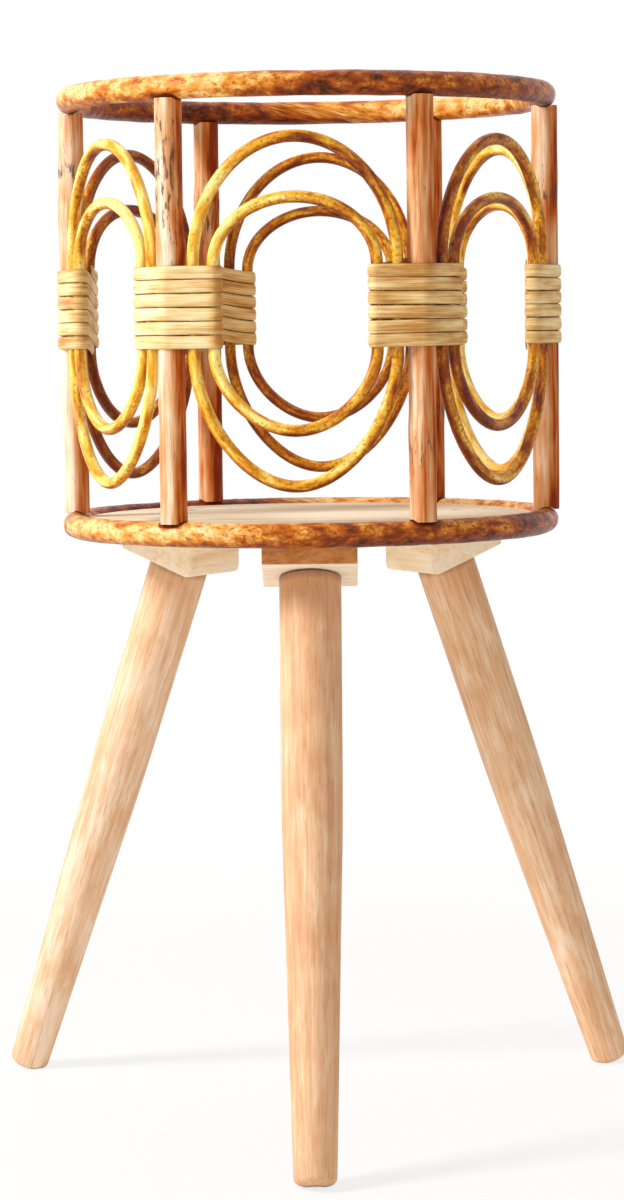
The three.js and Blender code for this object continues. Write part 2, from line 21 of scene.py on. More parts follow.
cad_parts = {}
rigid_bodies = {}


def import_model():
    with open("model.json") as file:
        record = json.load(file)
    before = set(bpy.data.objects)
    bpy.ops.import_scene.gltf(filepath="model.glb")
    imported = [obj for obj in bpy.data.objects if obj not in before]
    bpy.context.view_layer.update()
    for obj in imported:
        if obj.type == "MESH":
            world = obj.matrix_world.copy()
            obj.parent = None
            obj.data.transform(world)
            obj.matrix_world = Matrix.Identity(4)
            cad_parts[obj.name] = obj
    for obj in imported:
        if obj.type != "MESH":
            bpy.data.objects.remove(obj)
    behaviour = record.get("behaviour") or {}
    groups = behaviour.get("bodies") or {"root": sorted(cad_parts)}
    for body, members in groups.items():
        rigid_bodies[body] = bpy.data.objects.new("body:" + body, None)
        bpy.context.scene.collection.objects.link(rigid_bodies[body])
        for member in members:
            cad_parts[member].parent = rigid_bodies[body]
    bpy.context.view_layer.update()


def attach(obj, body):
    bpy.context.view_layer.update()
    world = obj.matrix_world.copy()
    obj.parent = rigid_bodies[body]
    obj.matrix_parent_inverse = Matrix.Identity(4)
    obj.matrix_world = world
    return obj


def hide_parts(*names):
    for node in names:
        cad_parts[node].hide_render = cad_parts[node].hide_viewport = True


Mesh = bpy.types.Mesh
Object = bpy.types.Object
Material = bpy.types.Material
Node = bpy.types.Node
Socket = bpy.types.NodeSocket
Tree = bpy.types.NodeTree
Inputs = dict[str | int, Any]  # values, or sockets to link from, by the input's name or number
Stops = Sequence[tuple[float, str]]  # a colour ramp's stops: places from 0 to 1 and hex colours
Spots = dict[str, tuple[Vector, Vector]]  # each fastener's head and the way it faces, by its CAD node

MM = 0.001
GRAIN = "grain_space"  # a point's place on its own straight stick, with z along the grain, in metres
KNOT = "knot"  # 1 on the ridge of a knot and 0 between knots
TONE = "tone"  # how much browner this part is than the rest, as a share of its finish's colour range; on rings, posts, hoops and bindings it also carries painted light and shade
JOINT_SHADE = "joint"  # 1 where shade is painted along a joint, and 0 away from it
MIX_FACTOR, MIX_A, MIX_B, MIX_RESULT = 0, 6, 7, 2  # the colour sockets of a Mix node
MIX_NUMBER_A, MIX_NUMBER_B = 2, 3  # its number sockets
STICK_CREASE = 38  # an edge of a pole, cane or strap that turns more than this, in degrees, is sharp
OVERCUT = 5 * MM  # how far a drill stands out of what it has drilled

log = logging.getLogger("plant_stand")


# ---- Shared sizes ------------------------------------------------------------------------------


@dataclass(frozen=True)
class StandSizes:
    """The sizes that several sub-assemblies share, as they are in the CAD frame."""

    axis_y: float = 38.682 * MM  # the basket's axis, behind the middle of the stand's box
    basket_turn: float = math.radians(-2.75)
    ring_radius: float = 142.5 * MM
    pole_radius: float = 7.5 * MM
    bottom_ring_z: float = 356.896 * MM
    top_ring_z: float = 610.596 * MM
    post_radius: float = 8 * MM
    cane_radius: float = 3.6 * MM
    half_panel: float = 71.25 * MM
    panel_distance: float = 123.409 * MM
    outer_half_width: float = 58 * MM
    inner_half_width: float = 46.4 * MM
    outer_proud: float = 0.3 * MM
    panel_bow: float = 8.6 * MM
    panel_bow_radius: float = 500 * MM
    binding_middle_z: float = 486.196 * MM
    brad_turn: float = math.radians(15)  # from a post to the brad beside it
    leg_top_radius: float = 94.4 * MM
    leg_top_z: float = 329.778 * MM
    splay: float = math.radians(20.5)
    screw_head_z: float = 360.496 * MM
    screw_across: float = 17 * MM
    seat_gap: float = 0.3 * MM

    def stand_out(self, across: float, proud: float) -> float:
        """How far a hoop stands out from the line between its posts.

        Args:
            across: The distance from the panel's middle.
            proud: How far this hoop stands in front of the inner one.

        Returns:
            The distance outwards.
        """
        sag = self.panel_bow_radius - math.sqrt(self.panel_bow_radius**2 - across**2)
        return self.panel_bow + proud - sag

    def station(self, azimuth: float) -> Matrix:
        """The place on the stand's axis whose own -Y points out at that azimuth."""
        return Matrix.Translation((0, self.axis_y, 0)) @ Matrix.Rotation(azimuth, 4, "Z")

    def basket_station(self, azimuth: float) -> Matrix:
        """A station of the basket, which is turned a little on its legs."""
        return self.station(azimuth + self.basket_turn)

    def leg_frame(self, azimuth: float) -> Matrix:
        """A leg's own frame: the middle of its top, with z up along the leg."""
        top = Matrix.Translation((0, -self.leg_top_radius, self.leg_top_z))
        return self.station(azimuth) @ top @ Matrix.Rotation(-self.splay, 4, "X")


SIZES = StandSizes()


class Spot(Enum):
    """A place round the stand whose value is its azimuth in degrees."""

    @property
    def azimuth(self) -> float:
        """The azimuth in radians."""
        return math.radians(self.value)

    @property
    def label(self) -> str:
        """The place's part of a piece's name."""
        return self.name.lower()


class Post(Spot):
    """The six posts, on the basket."""

    FRONT_RIGHT = 30
    RIGHT = 90
    REAR_RIGHT = 150
    REAR_LEFT = 210
    LEFT = 270
    FRONT_LEFT = 330


class Panel(Spot):
    """The six panels, on the basket."""

    FRONT = 0
    FRONT_RIGHT = 60
    REAR_RIGHT = 120
    REAR = 180
    REAR_LEFT = 240
    FRONT_LEFT = 300


class Leg(Spot):
    """The three legs."""

    FRONT = 0
    RIGHT = 120
    LEFT = 240


BRAD_POSTS = tuple(Post)[::2]  # the posts with a brad beside them


def screw_spots(leg: Leg) -> list[Vector]:
    """The middles of the heads of the two board screws over a leg.

    Args:
        leg: The leg.

    Returns:
        The two middles, in the frame.
    """
    sides = (SIZES.screw_across, -SIZES.screw_across)
    heads = [Vector((across, -SIZES.leg_top_radius, SIZES.screw_head_z)) for across in sides]
    return [SIZES.station(leg.azimuth) @ head for head in heads]


# ---- Nodes, meshes and pieces ------------------------------------------------------------------


def add_node(tree: Tree, kind: str, inputs: Inputs | None = None, **settings: Any) -> Node:
    """Add one node to a tree, with its settings and the values or links of its inputs.

    Args:
        tree: The tree that gets the node.
        kind: The node's type.
        inputs: Values, or sockets to link from, by the input's name or number.
        **settings: Properties of the node itself.

    Returns:
        The new node.
    """
    node = tree.nodes.new(kind)
    for name, value in settings.items():
        setattr(node, name, value)
    for key, value in (inputs or {}).items():
        if isinstance(value, Socket):
            tree.links.new(value, node.inputs[key])
        else:
            node.inputs[key].default_value = value
    return node


def linear(colour: str) -> tuple[float, float, float, float]:
    """Turn an sRGB hex colour such as "#d39a3f" into a linear one with full alpha.

    Args:
        colour: The hex colour.

    Returns:
        Its red, green, blue and alpha.
    """
    parts = [int(colour[start : start + 2], 16) / 255 for start in (1, 3, 5)]
    light = [part / 12.92 if part <= 0.04045 else ((part + 0.055) / 1.055) ** 2.4 for part in parts]
    return light[0], light[1], light[2], 1.0


def fill_ramp(node: Node, stops: Stops) -> Socket:
    """Give a colour ramp its stops.

    Args:
        node: The Color Ramp node.
        stops: Each stop's place from 0 to 1 and its hex colour, in order.

    Returns:
        The ramp's colour socket.
    """
    elements = node.color_ramp.elements
    while len(elements) < len(stops):
        elements.new(1.0)
    for element, (place, colour) in zip(elements, stops):
        element.position = place
        element.color = linear(colour)
    return node.outputs["Color"]


def smoothstep(share: np.ndarray) -> np.ndarray:
    """Ease values from 0 to 1, held at the ends."""
    held = np.clip(share, 0, 1)
    return held * held * (3 - 2 * held)


def circle(radius: float, sides: int) -> list[tuple[float, float]]:
    """The points of a round section."""
    turns = [2 * math.pi * side / sides for side in range(sides)]
    return [(radius * math.cos(turn), radius * math.sin(turn)) for turn in turns]


def rounded(start: Vector, corner: Vector, end: Vector, steps: int) -> list[Vector]:
    """Points on the curve that rounds a corner, both ends included."""
    shares = [step / steps for step in range(steps + 1)]
    return [start.lerp(corner, share).lerp(corner.lerp(end, share), share) for share in shares]


def link_object(name: str, mesh: Mesh) -> Object:
    """Put a mesh in the scene as an object at the origin.

    Args:
        name: The object's name.
        mesh: The mesh.

    Returns:
        The object.
    """
    obj = bpy.data.objects.new(name, mesh)
    bpy.context.scene.collection.objects.link(obj)
    return obj


@contextmanager
def editing(mesh: Mesh) -> Iterator[bmesh.types.BMesh]:
    """Open a mesh for editing, and write it back at the end.

    Args:
        mesh: The mesh.

    Yields:
        The edit mesh.
    """
    shape = bmesh.new()
    shape.from_mesh(mesh)
    yield shape
    shape.to_mesh(mesh)
    shape.free()


def new_mesh(name: str, shape: bmesh.types.BMesh) -> Mesh:
    """Turn an edit mesh, which is freed, into a mesh.

    Args:
        name: The mesh's name.
        shape: The edit mesh.

    Returns:
        The mesh.
    """
    mesh = bpy.data.meshes.new(name)
    shape.to_mesh(mesh)
    shape.free()
    return mesh


def path_mesh(name: str, points: Sequence[Sequence[float]], closed: bool = False) -> Mesh:
    """A mesh of edges from each point to the next.

    Args:
        name: The mesh's name.
        points: The points, in three dimensions.
        closed: Whether the last point joins the first.

    Returns:
        The mesh.
    """
    mesh = bpy.data.meshes.new(name)
    edges = [(index, index + 1) for index in range(len(points) - 1)]
    mesh.from_pydata([tuple(point) for point in points], edges + [(len(points) - 1, 0)] * closed, [])
    return mesh


def turned_mesh(name: str, profile: Sequence[Sequence[float]], sides: int) -> Mesh:
    """A closed solid of revolution about +Z.

    Args:
        name: The mesh's name.
        profile: The outline as (radius, height), from one end of the axis to the other.
        sides: The faces round it.

    Returns:
        The mesh.
    """
    shape = bmesh.new()
    rows = []
    for radius, height in profile:
        if radius == 0:
            rows.append([shape.verts.new((0, 0, height))] * sides)
        else:
            rows.append([shape.verts.new((x, y, height)) for x, y in circle(radius, sides)])
    for low, high in zip(rows, rows[1:]):
        for side in range(sides):
            other = (side + 1) % sides
            shape.faces.new(list(dict.fromkeys((low[side], low[other], high[other], high[side]))))
    bmesh.ops.recalc_face_normals(shape, faces=shape.faces)
    return new_mesh(name, shape)


def evaluated(obj: Object, *tools: Object) -> Mesh:
    """Apply an object's modifiers, with its faces turned outwards.

    Args:
        obj: The object, which is removed.
        *tools: Objects that its modifiers use, which are removed as well.

    Returns:
        The result as a plain mesh.
    """
    name = obj.name
    mesh = bpy.data.meshes.new_from_object(obj.evaluated_get(bpy.context.evaluated_depsgraph_get()))
    obj.modifiers.clear()
    for spare in (obj, *tools):
        bpy.data.objects.remove(spare)
    with editing(mesh) as shape:
        bmesh.ops.recalc_face_normals(shape, faces=shape.faces)
    mesh.name = name
    return mesh


def cut(obj: Object, tool: Mesh, place: Matrix, lapped: bool = False) -> Object:
    """Take a tool's shape away from an object, by a modifier.

    Args:
        obj: The object that is cut.
        tool: The tool's mesh.
        place: Where the tool stands.
        lapped: Whether the tool's own parts run through each other.

    Returns:
        The tool's object, which is needed until the modifier is applied.
    """
    tool.transform(place)
    cutter = link_object(tool.name, tool)
    modifier = obj.modifiers.new(tool.name, "BOOLEAN")
    modifier.operation = "DIFFERENCE"
    modifier.object = cutter
    modifier.use_self = lapped
    return cutter


def crease(shape: bmesh.types.BMesh, degrees: float) -> None:
    """Make the edges that turn more than an angle sharp, and the others smooth."""
    for edge in shape.edges:
        edge.smooth = edge.calc_face_angle(math.pi) < math.radians(degrees)


def shade_by_angle(mesh: Mesh, degrees: float) -> None:
    """Shade a mesh smooth, except across edges that turn more than an angle.

    Args:
        mesh: The mesh.
        degrees: The angle.
    """
    mesh.shade_smooth()
    with editing(mesh) as shape:
        crease(shape, degrees)


def read_places(mesh: Mesh) -> np.ndarray:
    """A mesh's vertices as rows of three.

    Args:
        mesh: The mesh.

    Returns:
        The vertices, in their own order.
    """
    flat = np.empty(len(mesh.vertices) * 3)
    mesh.vertices.foreach_get("co", flat)
    return flat.reshape(-1, 3)


def write_places(mesh: Mesh, places: np.ndarray) -> None:
    """Move a mesh's vertices."""
    mesh.vertices.foreach_set("co", places.astype(np.float32).ravel())
    mesh.update()


def underside(mesh: Mesh, path: np.ndarray, radius: float) -> np.ndarray:
    """How far each vertex of a bent round stick is on its underside, from 0 on its upper half to 1."""
    middles = np.repeat(path[:, 2], len(mesh.vertices) // len(path))
    return smoothstep((middles - read_places(mesh)[:, 2]) / radius)


def store(mesh: Mesh, name: str, values: np.ndarray) -> None:
    """Store one number or one vector for each vertex of a mesh.

    Args:
        mesh: The mesh.
        name: The attribute's name, which replaces an old one.
        values: A flat array of numbers, or rows of three.
    """
    if name in mesh.attributes:
        mesh.attributes.remove(mesh.attributes[name])
    vector = values.ndim > 1
    attribute = mesh.attributes.new(name, "FLOAT_VECTOR" if vector else "FLOAT", "POINT")
    attribute.data.foreach_set("vector" if vector else "value", values.astype(np.float32).ravel())


def store_grain(mesh: Mesh, own_frame: Matrix, seed: float) -> None:
    """Store each vertex's place in its piece's own frame, where z runs along the grain.

    Args:
        mesh: The mesh.
        own_frame: The frame whose z is the grain's direction.
        seed: Moves this piece's pattern along the grain, so that no two pieces look alike.
    """
    back = np.array(own_frame.inverted())
    own = read_places(mesh) @ back[:3, :3].T + back[:3, 3]
    own[:, 2] += seed
    store(mesh, GRAIN, own)


def publish(name: str, mesh: Mesh, replaced: Sequence[str], material: Material) -> None:
    """Make a finished mesh a piece of the stand. Its tone is the finish's own where it stores none.

    Args:
        name: The piece's name.
        mesh: Its mesh, in place.
        replaced: The CAD nodes that it stands for.
        material: Its material.
    """
    obj = link_object(name, mesh)
    mesh.materials.clear()
    mesh.materials.append(material)
    if TONE not in mesh.attributes:
        store(mesh, TONE, np.zeros(len(mesh.vertices)))
    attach(obj, "root")
    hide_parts(*replaced)
    log.info("%s: %d faces, stands for %s", name, len(mesh.polygons), ", ".join(replaced))


# ---- Finishes ----------------------------------------------------------------------------------


@dataclass(frozen=True)
class Finish:
    """What every finish shares: a name, a slot in the record, and its shader's constants."""

    name: str
    slot: str
    roughness: float
    specular: float = 0.5
    metallic: float = 0.0

    def build(self) -> Material:
        """Make the material."""
        raise NotImplementedError


class Paint:
    """A material in the making, with the patterns and marks that the finishes are drawn with."""

    def __init__(self, finish: Finish) -> None:
        """Make the material of a finish with nothing but its shader, which feeds the output.

        Args:
            finish: The finish, which gives its name and its shader's constants.
        """
        self.roughness = finish.roughness
        self.material = bpy.data.materials.new(finish.name)
        self.material.use_nodes = True
        self.tree = self.material.node_tree
        self.tree.nodes.clear()
        constants = {"Metallic": finish.metallic, "Roughness": finish.roughness}
        constants["Specular IOR Level"] = finish.specular
        self.shader = self.add("ShaderNodeBsdfPrincipled", constants)
        self.add("ShaderNodeOutputMaterial", {"Surface": self.shader.outputs["BSDF"]})

    def add(self, kind: str, inputs: Inputs | None = None, **settings: Any) -> Node:
        """Add one node to the material."""
        return add_node(self.tree, kind, inputs, **settings)

    def noise(
        self, across: float, along: float, detail: float = 2.0, rough: float = 0.5, warp: float = 0.0
    ) -> Socket:
        """A noise pattern on the stick's own space, spread over 0 to 1.

        Args:
            across: The size of a patch across the grain, in metres.
            along: The size of a patch along the grain, in metres.
            detail: The number of finer layers.
            rough: How strong the finer layers are.
            warp: The noise's own distortion.

        Returns:
            The pattern's value.
        """
        place = self.add("ShaderNodeAttribute", attribute_name=GRAIN)
        shift = 1.7 * len(self.tree.nodes)  # so that no two patterns of a material run together
        spread = {"Location": (shift, shift, shift), "Scale": (1 / across, 1 / across, 1 / along)}
        sized = self.add("ShaderNodeMapping", {"Vector": place.outputs["Vector"], **spread})
        layers = {"Scale": 1.0, "Detail": detail, "Roughness": rough, "Distortion": warp}
        pattern = self.add("ShaderNodeTexNoise", {"Vector": sized.outputs["Vector"], **layers})
        limits = {"From Min": 0.3, "From Max": 0.7}
        return self.add("ShaderNodeMapRange", {"Value": pattern.outputs["Fac"], **limits}).outputs[0]

    def toned(self, fine: Socket, broad: Socket, share: float, stops: Stops) -> Socket:
        """Colour a surface by two patterns and its piece's tone.

        Args:
            fine: The finer pattern's value.
            broad: The broader pattern's value.
            share: The broader pattern's share.
            stops: The colour ramp's stops.

        Returns:
            The colour.
        """
        parts = {MIX_FACTOR: share, MIX_NUMBER_A: fine, MIX_NUMBER_B: broad}
        both = self.add("ShaderNodeMix", parts, data_type="FLOAT")
        tone = self.add("ShaderNodeAttribute", attribute_name=TONE)
        summed = {0: both.outputs[0], 1: tone.outputs["Fac"]}
        value = self.add("ShaderNodeMath", summed, operation="ADD").outputs[0]
        return fill_ramp(self.add("ShaderNodeValToRGB", {"Fac": value}), stops)

    def marked(
        self, under: Socket, pattern: Socket, limits: tuple[float, float], amount: float, colour: str
    ) -> Socket:
        """Lay marks of one colour over another where a pattern is strong.

        Args:
            under: The colour below.
            pattern: The pattern's value.
            limits: Where the marks start, and where they are whole.
            amount: How well they cover.
            colour: The marks' hex colour.

        Returns:
            The colour with its marks.
        """
        edges = {"From Min": limits[0], "From Max": limits[1], "To Max": amount}
        cover = self.add("ShaderNodeMapRange", {"Value": pattern, **edges}).outputs[0]
        mixed = {MIX_FACTOR: cover, MIX_A: under, MIX_B: linear(colour)}
        return self.add("ShaderNodeMix", mixed, data_type="RGBA").outputs[MIX_RESULT]

    def finished(self, colour: Socket, relief: Socket, depth: float, spread: float = 0.1) -> Material:
        """Give the shader its colour, relief and uneven gloss.

        Args:
            colour: The surface's colour.
            relief: The pattern that makes the relief and the gloss.
            depth: The relief's depth, in metres.
            spread: How far the roughness strays to either side.

        Returns:
            The finished material.
        """
        self.tree.links.new(colour, self.shader.inputs["Base Color"])
        bump = self.add("ShaderNodeBump", {"Height": relief, "Distance": depth, "Strength": 1.0})
        self.tree.links.new(bump.outputs["Normal"], self.shader.inputs["Normal"])
        ends = {"To Min": self.roughness - spread, "To Max": self.roughness + spread}
        uneven = self.add("ShaderNodeMapRange", {"Value": relief, **ends})
        self.tree.links.new(uneven.outputs[0], self.shader.inputs["Roughness"])
        return self.material


@dataclass(frozen=True)
class BrownedSkin(Finish):
    """Rattan with its own skin on, browned over a flame and varnished.

    It gives the eye a glossy mottled surface: golden where the flame missed, and red brown where it caught.
    """

    pale: str = "#f9cd88"
    gold: str = "#e2983a"
    orange: str = "#bd6212"
    brown: str = "#843609"
    scorch: str = "#3a1404"
    patch_across: float = 5 * MM
    patch_along: float = 9 * MM
    speck: float = 2.1 * MM
    speck_amount: float = 0.75
    speck_pull: float = 0.6  # how much denser the specks are where the skin is browner
    relief: float = 0.28 * MM

    def build(self) -> Material:
        """Make the material.

        Returns:
            The material.
        """
        paint = Paint(self)
        patches = paint.noise(self.patch_across, self.patch_along, 2.5, warp=0.3)
        broad = paint.noise(4 * self.patch_across, 6 * self.patch_along)
        stops = [(0.13, self.pale), (0.35, self.gold), (0.56, self.orange), (0.76, self.brown)]
        colour = paint.toned(patches, broad, 0.45, [*stops, (0.95, self.scorch)])
        glints = paint.noise(1.5 * self.speck, 3 * self.speck, 1.0)
        colour = paint.marked(colour, glints, (0.6, 1.0), 0.35 * self.speck_amount, self.gold)
        specks = paint.noise(self.speck, 1.3 * self.speck, rough=0.6, warp=0.4)
        tone = paint.add("ShaderNodeAttribute", attribute_name=TONE).outputs["Fac"]
        denser = {0: tone, 1: self.speck_pull, 2: specks}
        pulled = paint.add("ShaderNodeMath", denser, operation="MULTIPLY_ADD").outputs[0]
        colour = paint.marked(colour, pulled, (0.5, 0.85), self.speck_amount, self.brown)
        knots = paint.add("ShaderNodeAttribute", attribute_name=KNOT).outputs["Fac"]
        colour = paint.marked(colour, knots, (0.5, 1.0), 0.6, self.brown)
        pitted = {0: specks, 1: -0.8, 2: patches}
        relief = paint.add("ShaderNodeMath", pitted, operation="MULTIPLY_ADD").outputs[0]
        return paint.finished(colour, relief, self.relief)


@dataclass(frozen=True)
class PeeledRattan(Finish):
    """Rattan with its skin peeled off, sanded and oiled.

    It gives the eye a satin pinkish tan with long soft streaks, and a few dark scars near its knuckles. The
    pole's fibres are about 0.4 mm wide, and are drawn twice as wide to show at all.
    """

    light: str = "#f8e4cc"
    tan: str = "#dfa572"
    streak: str = "#bf621e"
    # The darkest stop, which shows mostly on the side of a post that carries painted shade.
    skin: str = "#882f05"
    scar: str = "#564034"
    fibre_across: float = 0.8 * MM
    relief: float = 0.16 * MM

    def build(self) -> Material:
        """Make the material.

        Returns:
            The material.
        """
        paint = Paint(self)
        streaks = paint.noise(3 * MM, 60 * MM, 3.0, 0.6, 0.3)
        broad = paint.noise(11 * MM, 45 * MM)
        stops = [(0.08, self.light), (0.45, self.tan), (0.8, self.streak), (1.0, self.skin)]
        colour = paint.toned(streaks, broad, 0.5, stops)
        knots = paint.add("ShaderNodeAttribute", attribute_name=KNOT).outputs["Fac"]
        scars = paint.noise(2.2 * MM, 12 * MM, 3.0, 0.65, 0.3)
        gathered = {0: knots, 1: 0.42, 2: scars}
        near = paint.add("ShaderNodeMath", gathered, operation="MULTIPLY_ADD").outputs[0]
        colour = paint.marked(colour, near, (0.86, 1.1), 0.85, self.scar)
        fibres = paint.noise(self.fibre_across, 22 * MM)
        sunk = {0: near, 1: -0.7, 2: fibres}
        relief = paint.add("ShaderNodeMath", sunk, operation="MULTIPLY_ADD").outputs[0]
        return paint.finished(colour, relief, self.relief, 0.06)


@dataclass(frozen=True)
class SplitStrap(Finish):
    """Flat strap split from rattan and shaved, with a low natural gloss.

    It gives the eye pale straw colour with fine lines that run along the strap, and edges darkened by
    painted shade where one turn meets the next. The lines are fibres about 0.4 mm wide, and are drawn twice
    as wide to show at all.
    """

    light: str = "#fbebc2"
    straw: str = "#ebce90"
    tan: str = "#be8640"
    # The colour of the painted shade along the strap's edges, where one turn meets the next.
    edge: str = "#7c4f22"
    half_width: float = 3.8 * MM
    fibre_across: float = 0.8 * MM
    relief: float = 0.06 * MM

    def build(self) -> Material:
        """Make the material.

        Returns:
            The material.
        """
        paint = Paint(self)
        lines = paint.noise(self.fibre_across, 30 * MM)
        broad = paint.noise(6 * MM, 26 * MM)
        colour = paint.toned(lines, broad, 0.55, [(0.15, self.light), (0.5, self.straw), (1.0, self.tan)])
        place = paint.add("ShaderNodeAttribute", attribute_name=GRAIN)
        across = paint.add("ShaderNodeSeparateXYZ", {0: place.outputs["Vector"]}).outputs["Y"]
        away = paint.add("ShaderNodeMath", {0: across}, operation="ABSOLUTE").outputs[0]
        # Painted shade along both edges of the strap, where its turns meet.
        rim = (0.84 * self.half_width, self.half_width)
        colour = paint.marked(colour, away, rim, 0.75, self.edge)
        return paint.finished(colour, lines, self.relief, 0.06)


@dataclass(frozen=True)
class PlanedWood(Finish):
    """A pale close-grained wood, planed or turned, and sanded.

    It gives the eye long soft streaks of slightly different tone, with short fine flecks between them, and
    painted shade along its joints, where a piece stores them. The flecks are about 0.3 mm wide, and are
    drawn wider to show at all.
    """

    light: str = "#f4dcc2"
    middle: str = "#e7bf98"
    dark: str = "#d7a37a"
    fleck: str = "#b07850"
    # The colour of the painted shade along a joint.
    varnish: str = "#5a3018"
    streak_across: float = 3 * MM
    streak_along: float = 60 * MM
    fleck_across: float = 0.9 * MM
    fleck_along: float = 13 * MM
    fleck_amount: float = 0.32
    wave: float = 0.7  # how far the grain wanders, in the noise's own measure
    relief: float = 0.05 * MM

    def build(self) -> Material:
        """Make the material.

        Returns:
            The material.
        """
        paint = Paint(self)
        streaks = paint.noise(self.streak_across, self.streak_along, 3.0, warp=self.wave)
        blush = paint.noise(4 * self.streak_across, 0.5 * self.streak_along, warp=0.6)
        stops = [(0.08, self.light), (0.5, self.middle), (0.95, self.dark)]
        colour = paint.toned(streaks, blush, 0.45, stops)
        flecks = paint.noise(self.fleck_across, self.fleck_along, warp=0.5 * self.wave)
        colour = paint.marked(colour, flecks, (0.62, 0.95), self.fleck_amount, self.fleck)
        colour = self.stained(paint, colour)
        # Painted shade along a joint, which only the legs store, at their top edge under the block.
        joint = paint.add("ShaderNodeAttribute", attribute_name=JOINT_SHADE).outputs["Fac"]
        colour = paint.marked(colour, joint, (0.0, 1.0), 0.9, self.varnish)
        return paint.finished(colour, flecks, self.relief, 0.05)

    def stained(self, paint: Paint, colour: Socket) -> Socket:
        """The wood's colour with what is brushed over its faces, which is nothing on bare wood."""
        return colour


@dataclass(frozen=True)
class FacedWood(PlanedWood):
    """Planed wood whose outer face, at one depth of its own space, is browned to match the ring above it.

    It gives the eye cream wood with one mottled orange-brown face.
    """

    face_y: float = -119 * MM
    face_depth: float = 1.0 * MM
    browned: str = "#cf8a48"
    browned_dark: str = "#a25a24"

    def stained(self, paint: Paint, colour: Socket) -> Socket:
        """The wood's colour with its outer face browned.

        Args:
            paint: The material in the making.
            colour: The bare wood's colour.

        Returns:
            The colour with its browned face.
        """
        place = paint.add("ShaderNodeAttribute", attribute_name=GRAIN)
        depth = paint.add("ShaderNodeSeparateXYZ", {0: place.outputs["Vector"]}).outputs["Y"]
        inwards = paint.add("ShaderNodeMath", {0: depth, 1: -1.0}, operation="MULTIPLY").outputs[0]
        edge = (-self.face_y - self.face_depth, -self.face_y - 0.6 * self.face_depth)
        browned = paint.marked(colour, inwards, edge, 0.95, self.browned)
        spots = paint.noise(3 * MM, 6 * MM, 3.0, 0.6, 0.3)
        spotted = paint.marked(browned, spots, (0.2, 1.2), 1.0, self.browned_dark)
        on_face = {"Value": inwards, "From Min": edge[0], "From Max": edge[1]}
        share = paint.add("ShaderNodeMapRange", on_face).outputs[0]
        mixed = {MIX_FACTOR: share, MIX_A: colour, MIX_B: spotted}
        return paint.add("ShaderNodeMix", mixed, data_type="RGBA").outputs[MIX_RESULT]


@dataclass(frozen=True)
class SolidMetal(Finish):
    """A metal fastener, plated or plain.

    It gives the eye a soft grey or yellow glint with fine handling marks.
    """

    colour: str = "#b9bcc0"
    dulled: str = "#8f9296"
    mark: float = 0.6 * MM
    relief: float = 0.02 * MM

    def build(self) -> Material:
        """Make the material.

        Returns:
            The material.
        """
        paint = Paint(self)
        place = paint.add("ShaderNodeTexCoord").outputs["Object"]
        marks = paint.add("ShaderNodeTexNoise", {"Vector": place, "Scale": 1 / self.mark, "Detail": 3.0})
        ramp = paint.add("ShaderNodeValToRGB", {"Fac": marks.outputs["Fac"]})
        colour = fill_ramp(ramp, [(0.45, self.colour), (0.75, self.dulled)])
        return paint.finished(colour, marks.outputs["Fac"], self.relief)


@dataclass(frozen=True)
class Finishes:
    """Every finish on the stand."""

    ring_skin: BrownedSkin = BrownedSkin("Browned rattan pole", "rattan_pole", 0.42, 0.2)
    hoop_skin: BrownedSkin = BrownedSkin(
        "Browned rattan cane", "glossy_cane", 0.36, 0.22,
        pale="#ffea90", gold="#f2bb3a", orange="#cd800e", brown="#8a3a05", scorch="#521c04",
        patch_across=4 * MM, patch_along=18 * MM, speck=2.0 * MM, speck_amount=0.6, speck_pull=1.0,
    )
    post_wood: PeeledRattan = PeeledRattan("Peeled rattan pole", "peeled_pole", 0.6, 0.13)
    strap: SplitStrap = SplitStrap("Split rattan strap", "cane_strap", 0.5, 0.25)
    leg_wood: PlanedWood = PlanedWood("Turned pine", "leg_wood", 0.6, 0.28)
    block_wood: FacedWood = FacedWood(
        "Sawn pine", "block_wood", 0.7, 0.15,
        light="#fff6e6", middle="#fdecd2", dark="#f0d4ac", fleck="#d4b084",
        streak_across=3.5 * MM, streak_along=110 * MM, fleck_amount=0.3, wave=0.4,
    )
    board_wood: PlanedWood = PlanedWood(
        "Poplar plywood", "board_wood", 0.75, 0.25,
        light="#faf0de", middle="#efe0c8", dark="#d8c4a2", fleck="#b09a7c",
        streak_across=12 * MM, streak_along=220 * MM, fleck_amount=0.3, wave=0.4,
    )
    zinc: SolidMetal = SolidMetal("Zinc plated steel", "zinc_steel", 0.35, metallic=1.0)
    stained_zinc: SolidMetal = SolidMetal(
        "Zinc plated steel under brown varnish", "zinc_steel", 0.5, colour="#7a4a28", dulled="#4a2a16"
    )
    brass: SolidMetal = SolidMetal("Brass", "brass", 0.32, metallic=1.0, colour="#c9b06a", dulled="#9c8448")


# ---- Geometry node trees -----------------------------------------------------------------------


